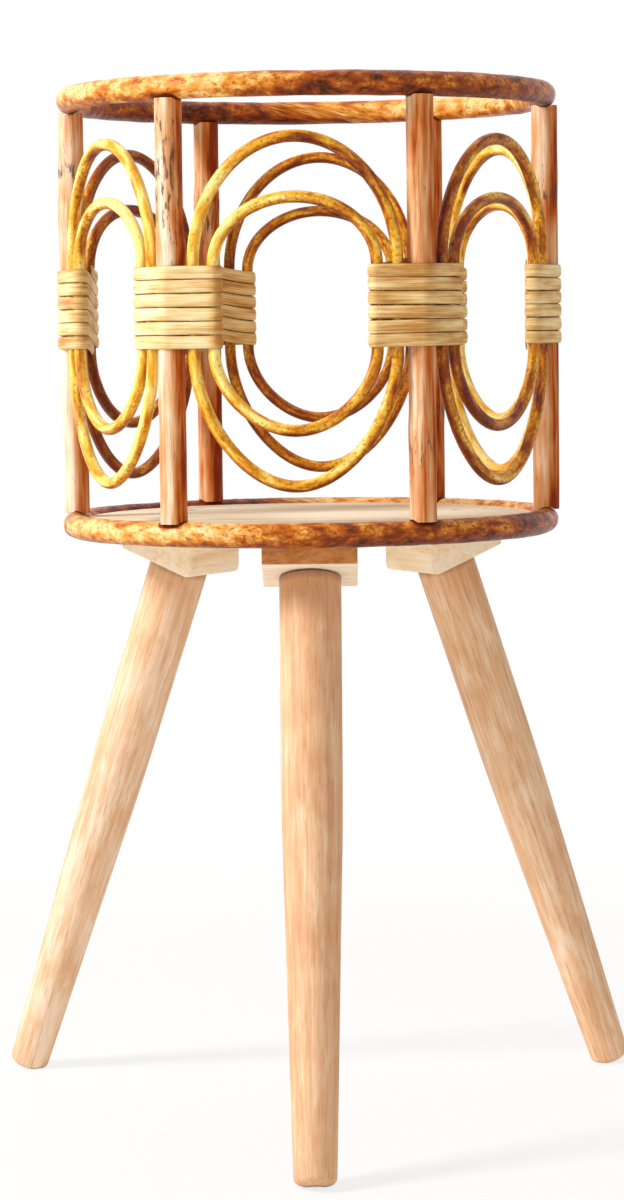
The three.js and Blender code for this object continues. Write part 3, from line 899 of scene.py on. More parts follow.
@dataclass
class ShapeTree:
    """A Geometry Nodes tree with named inputs, which a modifier runs once to make a plain mesh."""

    name: str
    sockets: dict[str, str]
    tree: Tree = field(init=False)
    start: Node = field(init=False)

    def __post_init__(self) -> None:
        """Make the tree with its inputs and its own nodes."""
        self.tree = bpy.data.node_groups.new(self.name, "GeometryNodeTree")
        for way in ("INPUT", "OUTPUT"):
            self.tree.interface.new_socket("Geometry", in_out=way, socket_type="NodeSocketGeometry")
        for name, kind in {**self.sockets, "Material": "Material"}.items():
            self.tree.interface.new_socket(name, in_out="INPUT", socket_type=f"NodeSocket{kind}")
        self.start = self.add("NodeGroupInput")
        self.build()

    def build(self) -> None:
        """Add the tree's own nodes."""
        raise NotImplementedError

    def add(self, kind: str, inputs: Inputs | None = None, **settings: Any) -> Node:
        """Add one node to this tree."""
        return add_node(self.tree, kind, inputs, **settings)

    def close(self, geometry: Socket) -> None:
        """Smooth the shape except at its sharp edges, realize it, give it its material and end the tree.

        Args:
            geometry: The shape.
        """
        smooth = self.add("GeometryNodeSetShadeSmooth", {"Geometry": geometry})
        angle = self.add("GeometryNodeInputMeshEdgeAngle").outputs["Unsigned Angle"]
        limit = {0: angle, 1: math.radians(STICK_CREASE)}
        sharp = self.add("FunctionNodeCompare", limit, data_type="FLOAT", operation="GREATER_THAN")
        edges = {"Geometry": smooth.outputs[0], "Selection": sharp.outputs[0], "Shade Smooth": False}
        creased = self.add("GeometryNodeSetShadeSmooth", edges, domain="EDGE")
        real = self.add("GeometryNodeRealizeInstances", {"Geometry": creased.outputs[0]})
        finish = {"Geometry": real.outputs[0], "Material": self.start.outputs["Material"]}
        self.add("NodeGroupOutput", {"Geometry": self.add("GeometryNodeSetMaterial", finish).outputs[0]})

    def make(self, name: str, mesh: Mesh, values: dict[str, Any]) -> Mesh:
        """Run the tree on a mesh.

        Args:
            name: The new mesh's name.
            mesh: The mesh that the tree starts from.
            values: The tree's inputs by name.

        Returns:
            The result as a plain mesh.
        """
        obj = link_object(name, mesh)
        modifier = obj.modifiers.new("Shape", "NODES")
        modifier.node_group = self.tree
        for item in self.tree.interface.items_tree:
            if item.in_out == "INPUT" and item.name in values:
                modifier[item.identifier] = values[item.name]
        return evaluated(obj)


class SectionHold(Enum):
    """How a bent stick's section stays as it follows its path."""

    UPRIGHT = "Z_UP"
    LEAST_TWIST = "MINIMUM_TWIST"


@dataclass(frozen=True)
class Lumps:
    """How uneven a natural stick is: soft lumps all over, and knots about one spacing apart."""

    height: float
    size: tuple[float, float, float]  # of a lump, twice across the stick and then along it
    knot_spacing: float = 3.0
    knot_swell: float = 0.0  # at 0, the stick has no knots
    knot_reach: float = 1 * MM

    def inputs(self) -> dict[str, Any]:
        """The stick tree's inputs for such a stick."""
        lumps = {"Lump Height": self.height, "Lump Size": self.size, "Knot Reach": self.knot_reach}
        return {**lumps, "Knot Spacing": self.knot_spacing, "Knot Swell": self.knot_swell}


class StickTree(ShapeTree):
    """A stick of any section that follows a path, with lumps, knots and its own grain space."""

    def __init__(self, name: str, hold: SectionHold, capped: bool = True) -> None:
        """Make the tree.

        Args:
            name: The tree's name.
            hold: How the section stays as it goes.
            capped: Whether the two ends are closed with a flat face.
        """
        self.hold = hold
        self.capped = capped
        names = ("Lump Height", "Knot Spacing", "Knot Swell", "Knot Reach", "Seed")
        floats = dict.fromkeys(names, "Float")
        super().__init__(name, {"Section": "Object", "Lump Size": "Vector", **floats})

    def build(self) -> None:
        """Add the tree's own nodes."""
        add, values = self.add, self.start.outputs
        curve = add("GeometryNodeMeshToCurve", {"Mesh": values["Geometry"]})
        held = add("GeometryNodeSetCurveNormal", {"Curve": curve.outputs[0]}, mode=self.hold.value)
        path = add("GeometryNodeCaptureAttribute", {"Geometry": held.outputs[0]}, domain="POINT")
        path.capture_items.new("FLOAT", "Along")
        length = add("GeometryNodeSplineParameter").outputs["Length"]
        self.tree.links.new(length, path.inputs["Along"])
        outline = add("GeometryNodeObjectInfo", {"Object": values["Section"]})
        loop = add("GeometryNodeMeshToCurve", {"Mesh": outline.outputs["Geometry"]})
        section = add("GeometryNodeCaptureAttribute", {"Geometry": loop.outputs[0]}, domain="POINT")
        section.capture_items.new("VECTOR", "Section")
        self.tree.links.new(add("GeometryNodeInputPosition").outputs[0], section.inputs["Section"])
        sweep = {"Curve": path.outputs[0], "Profile Curve": section.outputs[0], "Fill Caps": self.capped}
        stick = add("GeometryNodeCurveToMesh", sweep)

        # A point's own place is its place in the section, lifted by its way along the path and the seed.
        started = {0: path.outputs["Along"], 1: values["Seed"]}
        climb = add("ShaderNodeMath", started, operation="ADD").outputs[0]
        lifted = {0: section.outputs["Section"], 1: add("ShaderNodeCombineXYZ", {"Z": climb}).outputs[0]}
        own = add("ShaderNodeVectorMath", lifted, operation="ADD").outputs[0]
        sized = add("ShaderNodeVectorMath", {0: own, 1: values["Lump Size"]}, operation="DIVIDE")
        noise = add("ShaderNodeTexNoise", {"Vector": sized.outputs[0], "Scale": 1.0, "Detail": 1.5})
        stray = add("ShaderNodeMath", {0: noise.outputs["Fac"], 1: 0.5}, operation="SUBTRACT")
        lump = add("ShaderNodeMath", {0: stray.outputs[0], 1: values["Lump Height"]}, operation="MULTIPLY")

        # Knots come about one spacing apart, and the noise lets each of them lean and stray.
        spaced = add("ShaderNodeMath", {0: climb, 1: values["Knot Spacing"]}, operation="DIVIDE")
        strayed = {0: noise.outputs["Fac"], 1: 0.04, 2: spaced.outputs[0]}
        leaning = add("ShaderNodeMath", strayed, operation="MULTIPLY_ADD")
        phase = add("ShaderNodeMath", {0: leaning.outputs[0], 1: 0.5}, operation="PINGPONG")
        off = add("ShaderNodeMath", {0: phase.outputs[0], 1: values["Knot Spacing"]}, operation="MULTIPLY")
        reach = {"Value": off.outputs[0], "From Max": values["Knot Reach"], "To Min": 1.0, "To Max": 0.0}
        knot = add("ShaderNodeMapRange", reach, interpolation_type="SMOOTHSTEP").outputs[0]
        swollen = {0: knot, 1: values["Knot Swell"], 2: lump.outputs[0]}
        rise = add("ShaderNodeMath", swollen, operation="MULTIPLY_ADD").outputs[0]
        outwards = {0: add("GeometryNodeInputNormal").outputs[0], "Scale": rise}
        offset = add("ShaderNodeVectorMath", outwards, operation="SCALE").outputs[0]

        kept = stick.outputs[0]
        for name, kind, value in ((KNOT, "FLOAT", knot), (GRAIN, "FLOAT_VECTOR", own)):
            stored = {"Geometry": kept, "Name": name, "Value": value}
            kept = add("GeometryNodeStoreNamedAttribute", stored, data_type=kind, domain="POINT").outputs[0]
        self.close(add("GeometryNodeSetPosition", {"Geometry": kept, "Offset": offset}).outputs[0])

    def bend(
        self,
        name: str,
        path: np.ndarray,
        outline: Sequence[tuple[float, float]],
        lumps: Lumps,
        seed: float,
        material: Material,
    ) -> Mesh:
        """Make one stick.

        Args:
            name: The mesh's name.
            path: The middle line, as rows of three.
            outline: The section's points.
            lumps: How uneven the stick is.
            seed: Moves its patterns along it, so that no two sticks look alike.
            material: Its material.

        Returns:
            The stick's mesh.
        """
        points = [(x, y, 0.0) for x, y in outline]
        section = link_object("section", path_mesh("section", points, closed=True))
        values = {"Section": section, "Seed": seed, "Material": material, **lumps.inputs()}
        mesh = self.make(name, path_mesh(name, path), values)
        bpy.data.objects.remove(section)
        return mesh


class FastenerTree(ShapeTree):
    """Copies of one fastener, each standing on a point with its head along that point's axis."""

    def build(self) -> None:
        """Add the tree's own nodes."""
        values = self.start.outputs
        points = self.add("GeometryNodeMeshToPoints", {"Mesh": values["Geometry"]})
        shape = self.add("GeometryNodeObjectInfo", {"Object": values["Fastener"]}).outputs["Geometry"]
        axis = self.add("GeometryNodeInputNamedAttribute", {"Name": "axis"}, data_type="FLOAT_VECTOR")
        turned = self.add("FunctionNodeAlignRotationToVector", {"Vector": axis.outputs[0]}, axis="Z")
        placed = {"Points": points.outputs[0], "Instance": shape, "Rotation": turned.outputs[0]}
        copies = self.add("GeometryNodeInstanceOnPoints", placed)
        self.close(self.add("GeometryNodeRealizeInstances", {"Geometry": copies.outputs[0]}).outputs[0])


# ---- Rings -------------------------------------------------------------------------------------


@dataclass(frozen=True)
class RingLook:
    """One ring's own place and marks.

    up is the way its post nails' heads face. bradded tells whether it holds the board's brads. tones is how
    brown the pole is at each azimuth, in degrees: partly the pole's own uneven browning, and partly painted
    light and shade, paler where the pole faces the light and browner where it faces away from it.
    """

    name: str
    height: float
    up: int
    seed: float
    bradded: bool
    tones: tuple[tuple[float, float], ...]


@dataclass
class Rings:
    """The basket's two rings, each one pole bent round with its ends scarfed together at the rear."""

    scarf: float = math.radians(15)
    scarf_gap: float = 0.15 * MM
    scarf_blend: float = 60 * MM
    sides: int = 48
    steps: int = 620
    spare: float = 0.4 * MM  # the pole is that much thinner, so that its lumps stay inside the frame's box
    dent_depth: float = 0.75 * MM
    dent_radius: float = 2.7 * MM
    dent_reach: float = 4.6 * MM
    brad_dent: float = 0.65  # the width of a brad's dent against a nail's
    lumps: Lumps = Lumps(0.9 * MM, (9 * MM, 9 * MM, 20 * MM), 236 * MM, 0.2 * MM, 2.0 * MM)
    under_tone: float = 0.28  # painted shade: how much browner a pole's underside is
    joint_tone: float = 1.0  # painted shade: how much browner it is just under a post's end, below its overhang
    joint_reach: float = 9.8 * MM  # from the post's middle line
    joint_height: float = 3.2 * MM  # from the pole's middle line towards the post
    joint_blend: float = 1.8 * MM
    looks: tuple[RingLook, ...] = (
        RingLook(
            "top_ring", SIZES.top_ring_z, 1, 0.155, False,
            ((0, 0.06), (25, 0.16), (60, 0.2), (85, 0.16), (110, -0.15),
             (150, -0.42), (185, 0.05), (215, 0.28), (245, 0.28), (262, -0.1),
             (290, -0.25), (325, -0.26), (344, -0.3), (353, -0.02), (360, 0.06)),
        ),
        RingLook(
            "bottom_ring", SIZES.bottom_ring_z, -1, 0.41, True,
            ((0, 0.04), (25, 0.16), (60, 0.2), (85, 0.16), (110, -0.1),
             (150, -0.3), (185, 0.05), (215, 0.45), (245, 0.4), (262, 0.0),
             (290, -0.21), (325, -0.24), (342, -0.12), (352, 0.02), (360, 0.04)),
        ),
    )

    def build(self, finishes: Finishes) -> None:
        """Make both rings and publish them.

        Args:
            finishes: The stand's finishes.
        """
        tree = StickTree("Bent Pole", SectionHold.UPRIGHT, capped=False)
        material = finishes.ring_skin.build()
        outline = circle(SIZES.pole_radius - self.spare, self.sides)
        for look in self.looks:
            name = f"{look.name}_pole"
            path = self.path(look.height)
            mesh = tree.bend(name, path, outline, self.lumps, look.seed, material)
            places = read_places(mesh)
            # The tone paints light and shade as well as the pole's own browning: by azimuth, on the
            # underside and under each post's end.
            tones = np.interp(np.degrees(self.azimuths(places)) % 360, *zip(*look.tones))
            tones += self.under_tone * underside(mesh, path, SIZES.pole_radius)
            store(mesh, TONE, tones + self.joint_tone * self.joints(places, look))
            places = self.slanted(places, look.height)
            for post in Post:
                places = self.dented(places, post.azimuth, look.height, Vector((0, 0, look.up)), 1.0)
            for post in BRAD_POSTS if look.bradded else ():
                azimuth = post.azimuth + SIZES.brad_turn
                places = self.dented(places, azimuth, look.height, Vector((0, -1, 0)), self.brad_dent)
            write_places(mesh, places)
            self.close_ends(mesh)
            publish(name, mesh, [look.name], material)

    def path(self, height: float) -> np.ndarray:
        """The pole's middle line, once round from the scarf to the scarf.

        Args:
            height: The ring's height.

        Returns:
            The points, as rows of three.
        """
        half_gap = self.scarf_gap / math.sin(self.scarf) / 2 / SIZES.ring_radius
        azimuths = np.linspace(math.pi + half_gap, 3 * math.pi - half_gap, self.steps) + SIZES.basket_turn
        x = SIZES.ring_radius * np.sin(azimuths)
        y = SIZES.axis_y - SIZES.ring_radius * np.cos(azimuths)
        return np.column_stack([x, y, np.full_like(x, height)])

    @staticmethod
    def azimuths(places: np.ndarray) -> np.ndarray:
        """The azimuths of points on the basket, in radians."""
        return np.arctan2(places[:, 0], SIZES.axis_y - places[:, 1]) - SIZES.basket_turn

    def joints(self, places: np.ndarray, look: RingLook) -> np.ndarray:
        """How near each vertex is to the edge of a post's end, from 0 away from the posts to 1: the painted
        shade under it.

        Args:
            places: The pole's vertices.
            look: The ring's own place.

        Returns:
            A share for each vertex.
        """
        near = np.zeros(len(places))
        for post in Post:
            middle = np.array(SIZES.basket_station(post.azimuth) @ Vector((0, -SIZES.ring_radius, 0)))
            away = np.linalg.norm((places - middle)[:, :2], axis=1)
            near = np.maximum(near, smoothstep((self.joint_reach - away) / self.joint_blend))
        rise = (look.height - places[:, 2]) * look.up
        return near * smoothstep((rise - self.joint_height) / self.joint_blend)

    def slanted(self, places: np.ndarray, height: float) -> np.ndarray:
        """Slant the pole's two ends, so that they lie on each other in the scarf.

        Args:
            places: The pole's vertices.
            height: The ring's height.

        Returns:
            The vertices, moved round the ring near its ends.
        """
        x, y = places[:, 0], places[:, 1] - SIZES.axis_y
        behind = np.mod(self.azimuths(places), 2 * math.pi) - math.pi
        share = smoothstep(1 - np.abs(behind) * SIZES.ring_radius / self.scarf_blend)
        turn = (places[:, 2] - height) / math.tan(self.scarf) / SIZES.ring_radius * share
        moved = (x * np.cos(turn) - y * np.sin(turn), x * np.sin(turn) + y * np.cos(turn) + SIZES.axis_y)
        return np.column_stack([*moved, places[:, 2]])

    def dented(
        self, places: np.ndarray, azimuth: float, height: float, way: Vector, size: float
    ) -> np.ndarray:
        """Press the shallow dent that a nail's head leaves.

        Args:
            places: The pole's vertices.
            azimuth: The nail's azimuth on the basket.
            height: The ring's height.
            way: The nail's direction in its station, from its point to its head.
            size: The dent's width against a post nail's.

        Returns:
            The vertices with the dent.
        """
        station = SIZES.basket_station(azimuth)
        axis = np.array(station.to_3x3() @ way)
        offset = places - np.array(station @ Vector((0, -SIZES.ring_radius, height)))
        up = offset @ axis
        aside = np.linalg.norm(offset - np.outer(up, axis), axis=1)
        share = smoothstep((self.dent_reach * size - aside) / ((self.dent_reach - self.dent_radius) * size))
        floor = SIZES.pole_radius - self.dent_depth
        return places - np.outer(np.where(up > floor, (up - floor) * share, 0), axis)

    def close_ends(self, mesh: Mesh) -> None:
        """Close the pole's two slanted ends with level strips, so that the ends match.

        Args:
            mesh: The pole.
        """
        with editing(mesh) as shape:
            shape.verts.ensure_lookup_table()
            for first in (0, len(shape.verts) - self.sides):
                ring = shape.verts[first : first + self.sides]
                top = max(range(self.sides), key=lambda index: ring[index].co.z)
                pairs = [(ring[(top + k) % self.sides], ring[top - k]) for k in range(self.sides // 2 + 1)]
                for high, low in zip(pairs, pairs[1:]):
                    shape.faces.new(list(dict.fromkeys((high[0], low[0], low[1], high[1]))))
            crease(shape, STICK_CREASE)
            bmesh.ops.recalc_face_normals(shape, faces=shape.faces)


# ---- Posts -------------------------------------------------------------------------------------


@dataclass(frozen=True)
class PostLook:
    """One post's own marks.

    knuckle is the height above the post's middle of the swelling that a branch left, which stands out by
    swell and faces side, in degrees from +X in the post's station. Scars lie within scar_reach of the
    height scars. tone is how much browner the post is than the rest. The last two numbers paint shade: how
    much browner still the post is on its side away from the light, and the way that side faces, in degrees.
    """

    knuckle: float
    swell: float
    side: float
    scars: float
    scar_reach: float
    tone: float
    skin: float
    skin_side: float


@dataclass
class Posts:
    """Six upright peeled poles, coped over the rings at both ends."""

    end_inset: float = 6.2 * MM
    sides: int = 48
    rows: int = 130
    knuckle_reach: float = 15 * MM
    skin_spread: float = 0.3  # how far round a post its painted shade reaches past the half that faces its shaded side
    spare: float = 0.2 * MM  # the pole is that much thinner, so that its lumps stay inside the CAD post
    cope_sides: int = 64
    cope_half_width: float = 14 * MM
    seed_step: float = 0.37
    lumps: Lumps = Lumps(0.75 * MM, (13 * MM, 13 * MM, 55 * MM))
    looks: dict[Post, PostLook] = field(
        default_factory=lambda: {
            Post.FRONT_RIGHT: PostLook(-70 * MM, 0.5 * MM, 200, -80 * MM, 15 * MM, -0.02, 0.2, -27),
            Post.RIGHT: PostLook(78 * MM, 0.6 * MM, 20, 70 * MM, 12 * MM, -0.1, 0.42, -87),
            Post.REAR_RIGHT: PostLook(-62 * MM, 0.6 * MM, 120, -62 * MM, 12 * MM, 0.0, 0.3, 213),
            Post.REAR_LEFT: PostLook(70 * MM, 0.9 * MM, 60, 62 * MM, 30 * MM, 0.0, 0.45, 153),
            Post.LEFT: PostLook(60 * MM, 0.7 * MM, 300, 86 * MM, 10 * MM, -0.28, 0.42, 93),
            Post.FRONT_LEFT: PostLook(36 * MM, 1.5 * MM, -15, 80 * MM, 60 * MM, -0.2, 0.6, 33),
        }
    )

    def build(self, finishes: Finishes) -> None:
        """Make the posts and publish them.

        Args:
            finishes: The stand's finishes.
        """
        tree = StickTree("Straight Pole", SectionHold.LEAST_TWIST)
        material = finishes.post_wood.build()
        outline = circle(SIZES.post_radius - self.spare, self.sides)
        half = (SIZES.top_ring_z - SIZES.bottom_ring_z) / 2
        heights = np.linspace(self.end_inset - half, half - self.end_inset, self.rows)
        path = np.column_stack([np.zeros((self.rows, 2)), heights])
        middle = Matrix.Translation((0, -SIZES.ring_radius, half + SIZES.bottom_ring_z))
        for number, post in enumerate(Post, 1):
            name = f"post_{post.label}_pole"
            seed = self.seed_step * number
            pole = link_object(name, tree.bend(name, path, outline, self.lumps, seed, material))
            mesh = evaluated(pole, self.coped(pole, half), self.coped(pole, -half))
            shade_by_angle(mesh, STICK_CREASE)
            self.mark(mesh, self.looks[post])
            store_grain(mesh, Matrix.Identity(4), seed)
            mesh.transform(SIZES.basket_station(post.azimuth) @ middle)
            publish(name, mesh, [f"post_{post.label}"], material)

    def coped(self, pole: Object, height: float) -> Object:
        """Cut a pole's end to sit on a ring whose middle line is at a height, and return the tool.

        Args:
            pole: The post.
            height: The ring's height above the post's middle.

        Returns:
            The tool's object.
        """
        radius, reach = SIZES.pole_radius + SIZES.seat_gap, self.cope_half_width
        profile = [(0.0, -reach), (radius, -reach), (radius, reach), (0.0, reach)]
        place = Matrix.Translation((0, 0, height)) @ Matrix.Rotation(math.pi / 2, 4, "Y")
        return cut(pole, turned_mesh("cope", profile, self.cope_sides), place)

    def mark(self, mesh: Mesh, look: PostLook) -> None:
        """Raise a post's knuckle, and store where its scars are and the painted shade on its side away from
        the light.

        Args:
            mesh: The post, about its own middle.
            look: The post's own marks.
        """
        places = read_places(mesh)
        facing = {}
        for side in (look.side, look.skin_side):
            way = np.array([math.cos(math.radians(side)), math.sin(math.radians(side))])
            facing[side] = places[:, :2] @ way / SIZES.post_radius
        ridge = smoothstep(1 - np.abs(places[:, 2] - look.knuckle) / self.knuckle_reach)
        swell = ridge * smoothstep((facing[look.side] + 1) / 2) * look.swell / SIZES.post_radius
        store(mesh, KNOT, smoothstep(1 - np.abs(places[:, 2] - look.scars) / look.scar_reach))
        # Painted shade: the post is browner on its side away from the light.
        store(mesh, TONE, look.tone + look.skin * smoothstep(facing[look.skin_side] + self.skin_spread))
        places[:, :2] *= 1 + swell[:, None]
        write_places(mesh, places)


# ---- Hoops -------------------------------------------------------------------------------------


@dataclass(frozen=True)
class HoopShape:
    """One of a panel's two ovals."""

    name: str
    half_width: float
    top: float
    bottom: float
    proud: float
    seed: float


@dataclass
class Hoops:
    """Two ovals of bent cane in each panel, one inside the other."""

    straight_half: float = 24.2 * MM
    crown: float = 0.55  # how full an oval's upper curve is, as a share of its width and rise
    keel: float = 0.5  # how full its lower curve is
    end_gap: float = 0.4 * MM
    sides: int = 28
    line_steps: int = 9
    curve_steps: int = 44
    spare: float = 0.1 * MM  # the cane is that much thinner, so that its lumps stay inside the CAD hoop
    seed_step: float = 0.0029  # for each degree of a panel's azimuth
    shapes: tuple[HoopShape, ...] = (
        HoopShape(
            "outer_hoop", SIZES.outer_half_width, 581.796 * MM, 384.196 * MM, SIZES.outer_proud, 0.21
        ),
        HoopShape("inner_hoop", SIZES.inner_half_width, 547.796 * MM, 415.796 * MM, 0.0, 1.58),
    )
    lumps: Lumps = Lumps(0.28 * MM, (6 * MM, 6 * MM, 30 * MM), 165 * MM, 0.15 * MM, 1.6 * MM)
    tones: dict[Panel, tuple[float, float, float]] = field(
        default_factory=lambda: {
            Panel.FRONT: (-0.22, -0.02, 0.0),
            Panel.FRONT_RIGHT: (0.26, 0.02, 0.08),
            Panel.REAR_RIGHT: (-0.2, -0.25, -0.25),
            Panel.REAR: (0.08, 0.08, 0.08),
            Panel.REAR_LEFT: (0.18, 0.22, 0.2),
            Panel.FRONT_LEFT: (-0.14, -0.24, -0.3),
        }
    )  # at the left, the middle and the right of a panel; partly painted light and shade, paler where the canes face the light and browner where they lie in shade
    under_tone: float = 0.42  # painted shade: how much browner a cane's underside is

    def build(self, finishes: Finishes) -> None:
        """Make the twelve hoops and publish them.

        Args:
            finishes: The stand's finishes.
        """
        tree = StickTree("Bent Cane", SectionHold.LEAST_TWIST)
        material = finishes.hoop_skin.build()
        outline = circle(SIZES.cane_radius - self.spare, self.sides)
        for shape in self.shapes:
            path = self.path(shape)
            for panel in Panel:
                node = f"{shape.name}_{panel.label}"
                seed = shape.seed + self.seed_step * panel.value
                mesh = tree.bend(f"{node}_cane", path, outline, self.lumps, seed, material)
                # The tone paints light and shade: across the panel by its table, and browner on the cane's
                # underside.
                across = read_places(mesh)[:, 0] / shape.half_width
                tones = np.interp(across, (-1, 0, 1), self.tones[panel])
                store(mesh, TONE, tones + self.under_tone * underside(mesh, path, SIZES.cane_radius))
                mesh.transform(SIZES.basket_station(panel.azimuth))
                publish(f"{node}_cane", mesh, [node], material)

    def path(self, shape: HoopShape) -> np.ndarray:
        """A hoop's middle line in its panel's own frame, from one cut end to the other.

        Args:
            shape: The hoop.

        Returns:
            The points, as rows of three.
        """
        wide, middle, gap = shape.half_width, SIZES.binding_middle_z, self.end_gap / 2
        upper, lower = middle + self.straight_half, middle - self.straight_half
        shoulder = upper + self.crown * (shape.top - upper)
        haunch = lower - self.keel * (lower - shape.bottom)
        crown, keel = self.crown * wide, self.keel * wide
        parts = [
            np.linspace((-wide, middle + gap), (-wide, upper), self.line_steps),
            self.curve((-wide, upper), (-wide, shoulder), (-crown, shape.top), (0, shape.top)),
            self.curve((0, shape.top), (crown, shape.top), (wide, shoulder), (wide, upper)),
            np.linspace((wide, upper), (wide, lower), 2 * self.line_steps),
            self.curve((wide, lower), (wide, haunch), (keel, shape.bottom), (0, shape.bottom)),
            self.curve((0, shape.bottom), (-keel, shape.bottom), (-wide, haunch), (-wide, lower)),
            np.linspace((-wide, lower), (-wide, middle - gap), self.line_steps),
        ]
        flat = np.vstack([parts[0][:1], *(part[1:] for part in parts)])
        out = [-SIZES.panel_distance - SIZES.stand_out(x, shape.proud) for x in flat[:, 0]]
        return np.column_stack([flat[:, 0], out, flat[:, 1]])

    def curve(self, *handles: tuple[float, float]) -> np.ndarray:
        """Points on a cubic Bezier curve, both ends included.

        Args:
            *handles: Its four handles.

        Returns:
            The points, as rows of two.
        """
        a, b, c, d = (np.array(handle) for handle in handles)
        t = np.linspace(0, 1, self.curve_steps + 1)[:, None]
        return (1 - t) ** 3 * a + 3 * t * (1 - t) ** 2 * b + 3 * t * t * (1 - t) * c + t**3 * d


# ---- Bindings ----------------------------------------------------------------------------------


@dataclass
class Bindings:
    """Six straps of split rattan, each wound six times round a post and the four canes beside it."""

    turns: int = 6
    width: float = 7.4 * MM
    pitch: float = 7.9 * MM
    thickness: float = 1.5 * MM
    edge_radius: float = 0.4 * MM
    edge_steps: int = 3  # in each of the section's rounded corners
    crown: float = 0.65 * MM
    crown_steps: int = 10
    stray: float = 0.24 * MM  # how far a turn's middle line goes up or down as it goes round
    slope: float = 0.3 * MM  # how far a turn is up on one side of the post and down on the other
    fade: float = 0.6  # the share of a radian over which a turn's strays fade beside the hidden run
    spacing: float = 1.5 * MM  # between points of the path
    belt_angles: int = 180
    run_error: float = 0.05 * MM  # how far a point of the hidden run may be from its straight line
    first_seed: int = 40
    seed_step: float = 0.61
    lumps: Lumps = Lumps(0.22 * MM, (5 * MM, 5 * MM, 14 * MM))
    turn_tone: float = 0.1  # how far one turn's tone is from the next
    tone_places: tuple[float, ...] = (-1, -0.8, 0, 0.8, 1)  # across a binding, as a share of its half width
    tones: dict[Post, tuple[float, ...]] = field(
        default_factory=lambda: {
            Post.FRONT_RIGHT: (0.14, 0.3, 0.34, 0.12, 0.22),
            Post.RIGHT: (0.12, 0.06, 0.1, 0.12, 0.22),
            Post.REAR_RIGHT: (0.1, 0.1, 0.1, 0.1, 0.1),
            Post.REAR_LEFT: (0.12, 0.12, 0.12, 0.12, 0.12),
            Post.LEFT: (0.04, 0.04, 0.08, 0.2, 0.26),
            Post.FRONT_LEFT: (0.12, -0.04, 0.0, 0.06, 0.5),
        }
    )  # at the left corner, the left face, the post, the right face and the right corner; partly painted shade, browner on the right corners, away from the light

    def build(self, finishes: Finishes) -> None:
        """Make the bindings and publish them.

        Args:
            finishes: The stand's finishes.
        """
        tree = StickTree("Wound Strap", SectionHold.UPRIGHT)
        material = finishes.strap.build()
        outline = self.section()
        middle = Matrix.Translation((0, -SIZES.ring_radius, SIZES.binding_middle_z))
        for number, post in enumerate(Post):
            node = f"binding_{post.label}"
            random = np.random.default_rng(self.first_seed + number)
            path = self.path(random)
            seed = self.seed_step * (number + 1)
            mesh = tree.bend(f"{node}_strap", path, outline, self.lumps, seed, material)
            # The tone by the table partly paints shade on the corners away from the light; each turn also
            # differs at random.
            tones = np.interp(path[:, 0] / path[:, 0].max(), self.tone_places, self.tones[post])
            turns = random.uniform(-self.turn_tone, self.turn_tone, self.turns)
            tones += np.interp(np.linspace(0, self.turns, len(path)), np.arange(self.turns) + 0.5, turns)
            store(mesh, TONE, np.repeat(tones, len(outline)))
            mesh.transform(SIZES.basket_station(post.azimuth) @ middle)
            publish(f"{node}_strap", mesh, [node], material)

    def section(self) -> list[tuple[float, float]]:
        """The strap's outline as (inwards, across): flat within, domed outside and rounded at its edges.

        Returns:
            The outline's points.
        """
        half, radius = self.width / 2, self.edge_radius
        inner, outer = self.thickness / 2 - radius, radius + self.crown - self.thickness / 2
        corners = ((inner, half - radius, 0), (outer, half - radius, 90))
        corners += ((outer, radius - half, 180), (inner, radius - half, 270))
        steps = range(self.edge_steps + 1)
        points = []
        for x, y, start in corners:
            turns = [math.radians(start + 90 * step / self.edge_steps) for step in steps]
            points += [(x + radius * math.cos(turn), y + radius * math.sin(turn)) for turn in turns]
            if start == 90:
                for share in np.linspace(1, -1, self.crown_steps + 1)[1:-1]:
                    y = share * (half - radius)
                    points.append((self.crown * (y / half) ** 2 - self.thickness / 2, y))
        return points

    def bundle(self) -> list[tuple[float, float, float]]:
        """The bound sticks about the post's centre, as (across, outwards, radius).

        Returns:
            The post, and then the canes.
        """
        sticks = [(0.0, 0.0, SIZES.post_radius)]
        half_corner = math.pi / 6  # between the line of a panel and the post's own line across
        hoops = ((SIZES.outer_half_width, SIZES.outer_proud), (SIZES.inner_half_width, 0.0))
        for half_width, proud in hoops:
            along = SIZES.half_panel - half_width
            out = SIZES.stand_out(half_width, proud)
            x = along * math.cos(half_corner) + out * math.sin(half_corner)
            y = out * math.cos(half_corner) - along * math.sin(half_corner)
            sticks += [(x, y, SIZES.cane_radius), (-x, y, SIZES.cane_radius)]
        return sticks

    def belt(self) -> np.ndarray:
        """One tight turn round the bundle, from the middle of the hidden run.

        Returns:
            The turn's points in order, as rows of (across, outwards).
        """
        offset = SIZES.seat_gap + self.thickness / 2
        sticks = self.bundle()
        corners = []
        for angle in np.linspace(-math.pi / 2, 3 * math.pi / 2, self.belt_angles):
            way = np.array([math.cos(angle), math.sin(angle)])
            x, y, radius = max(sticks, key=lambda stick: stick[0] * way[0] + stick[1] * way[1] + stick[2])
            corners.append(np.array([x, y]) + (radius + offset) * way)
        middle = (corners[0] + corners[-1]) / 2
        loop = [middle, *corners[1:-1], middle]
        points = []
        for here, there in zip(loop, loop[1:]):
            steps = max(1, math.ceil(float(np.linalg.norm(there - here)) / self.spacing))
            points += [here + (there - here) * step / steps for step in range(steps)]
        return np.array(points)

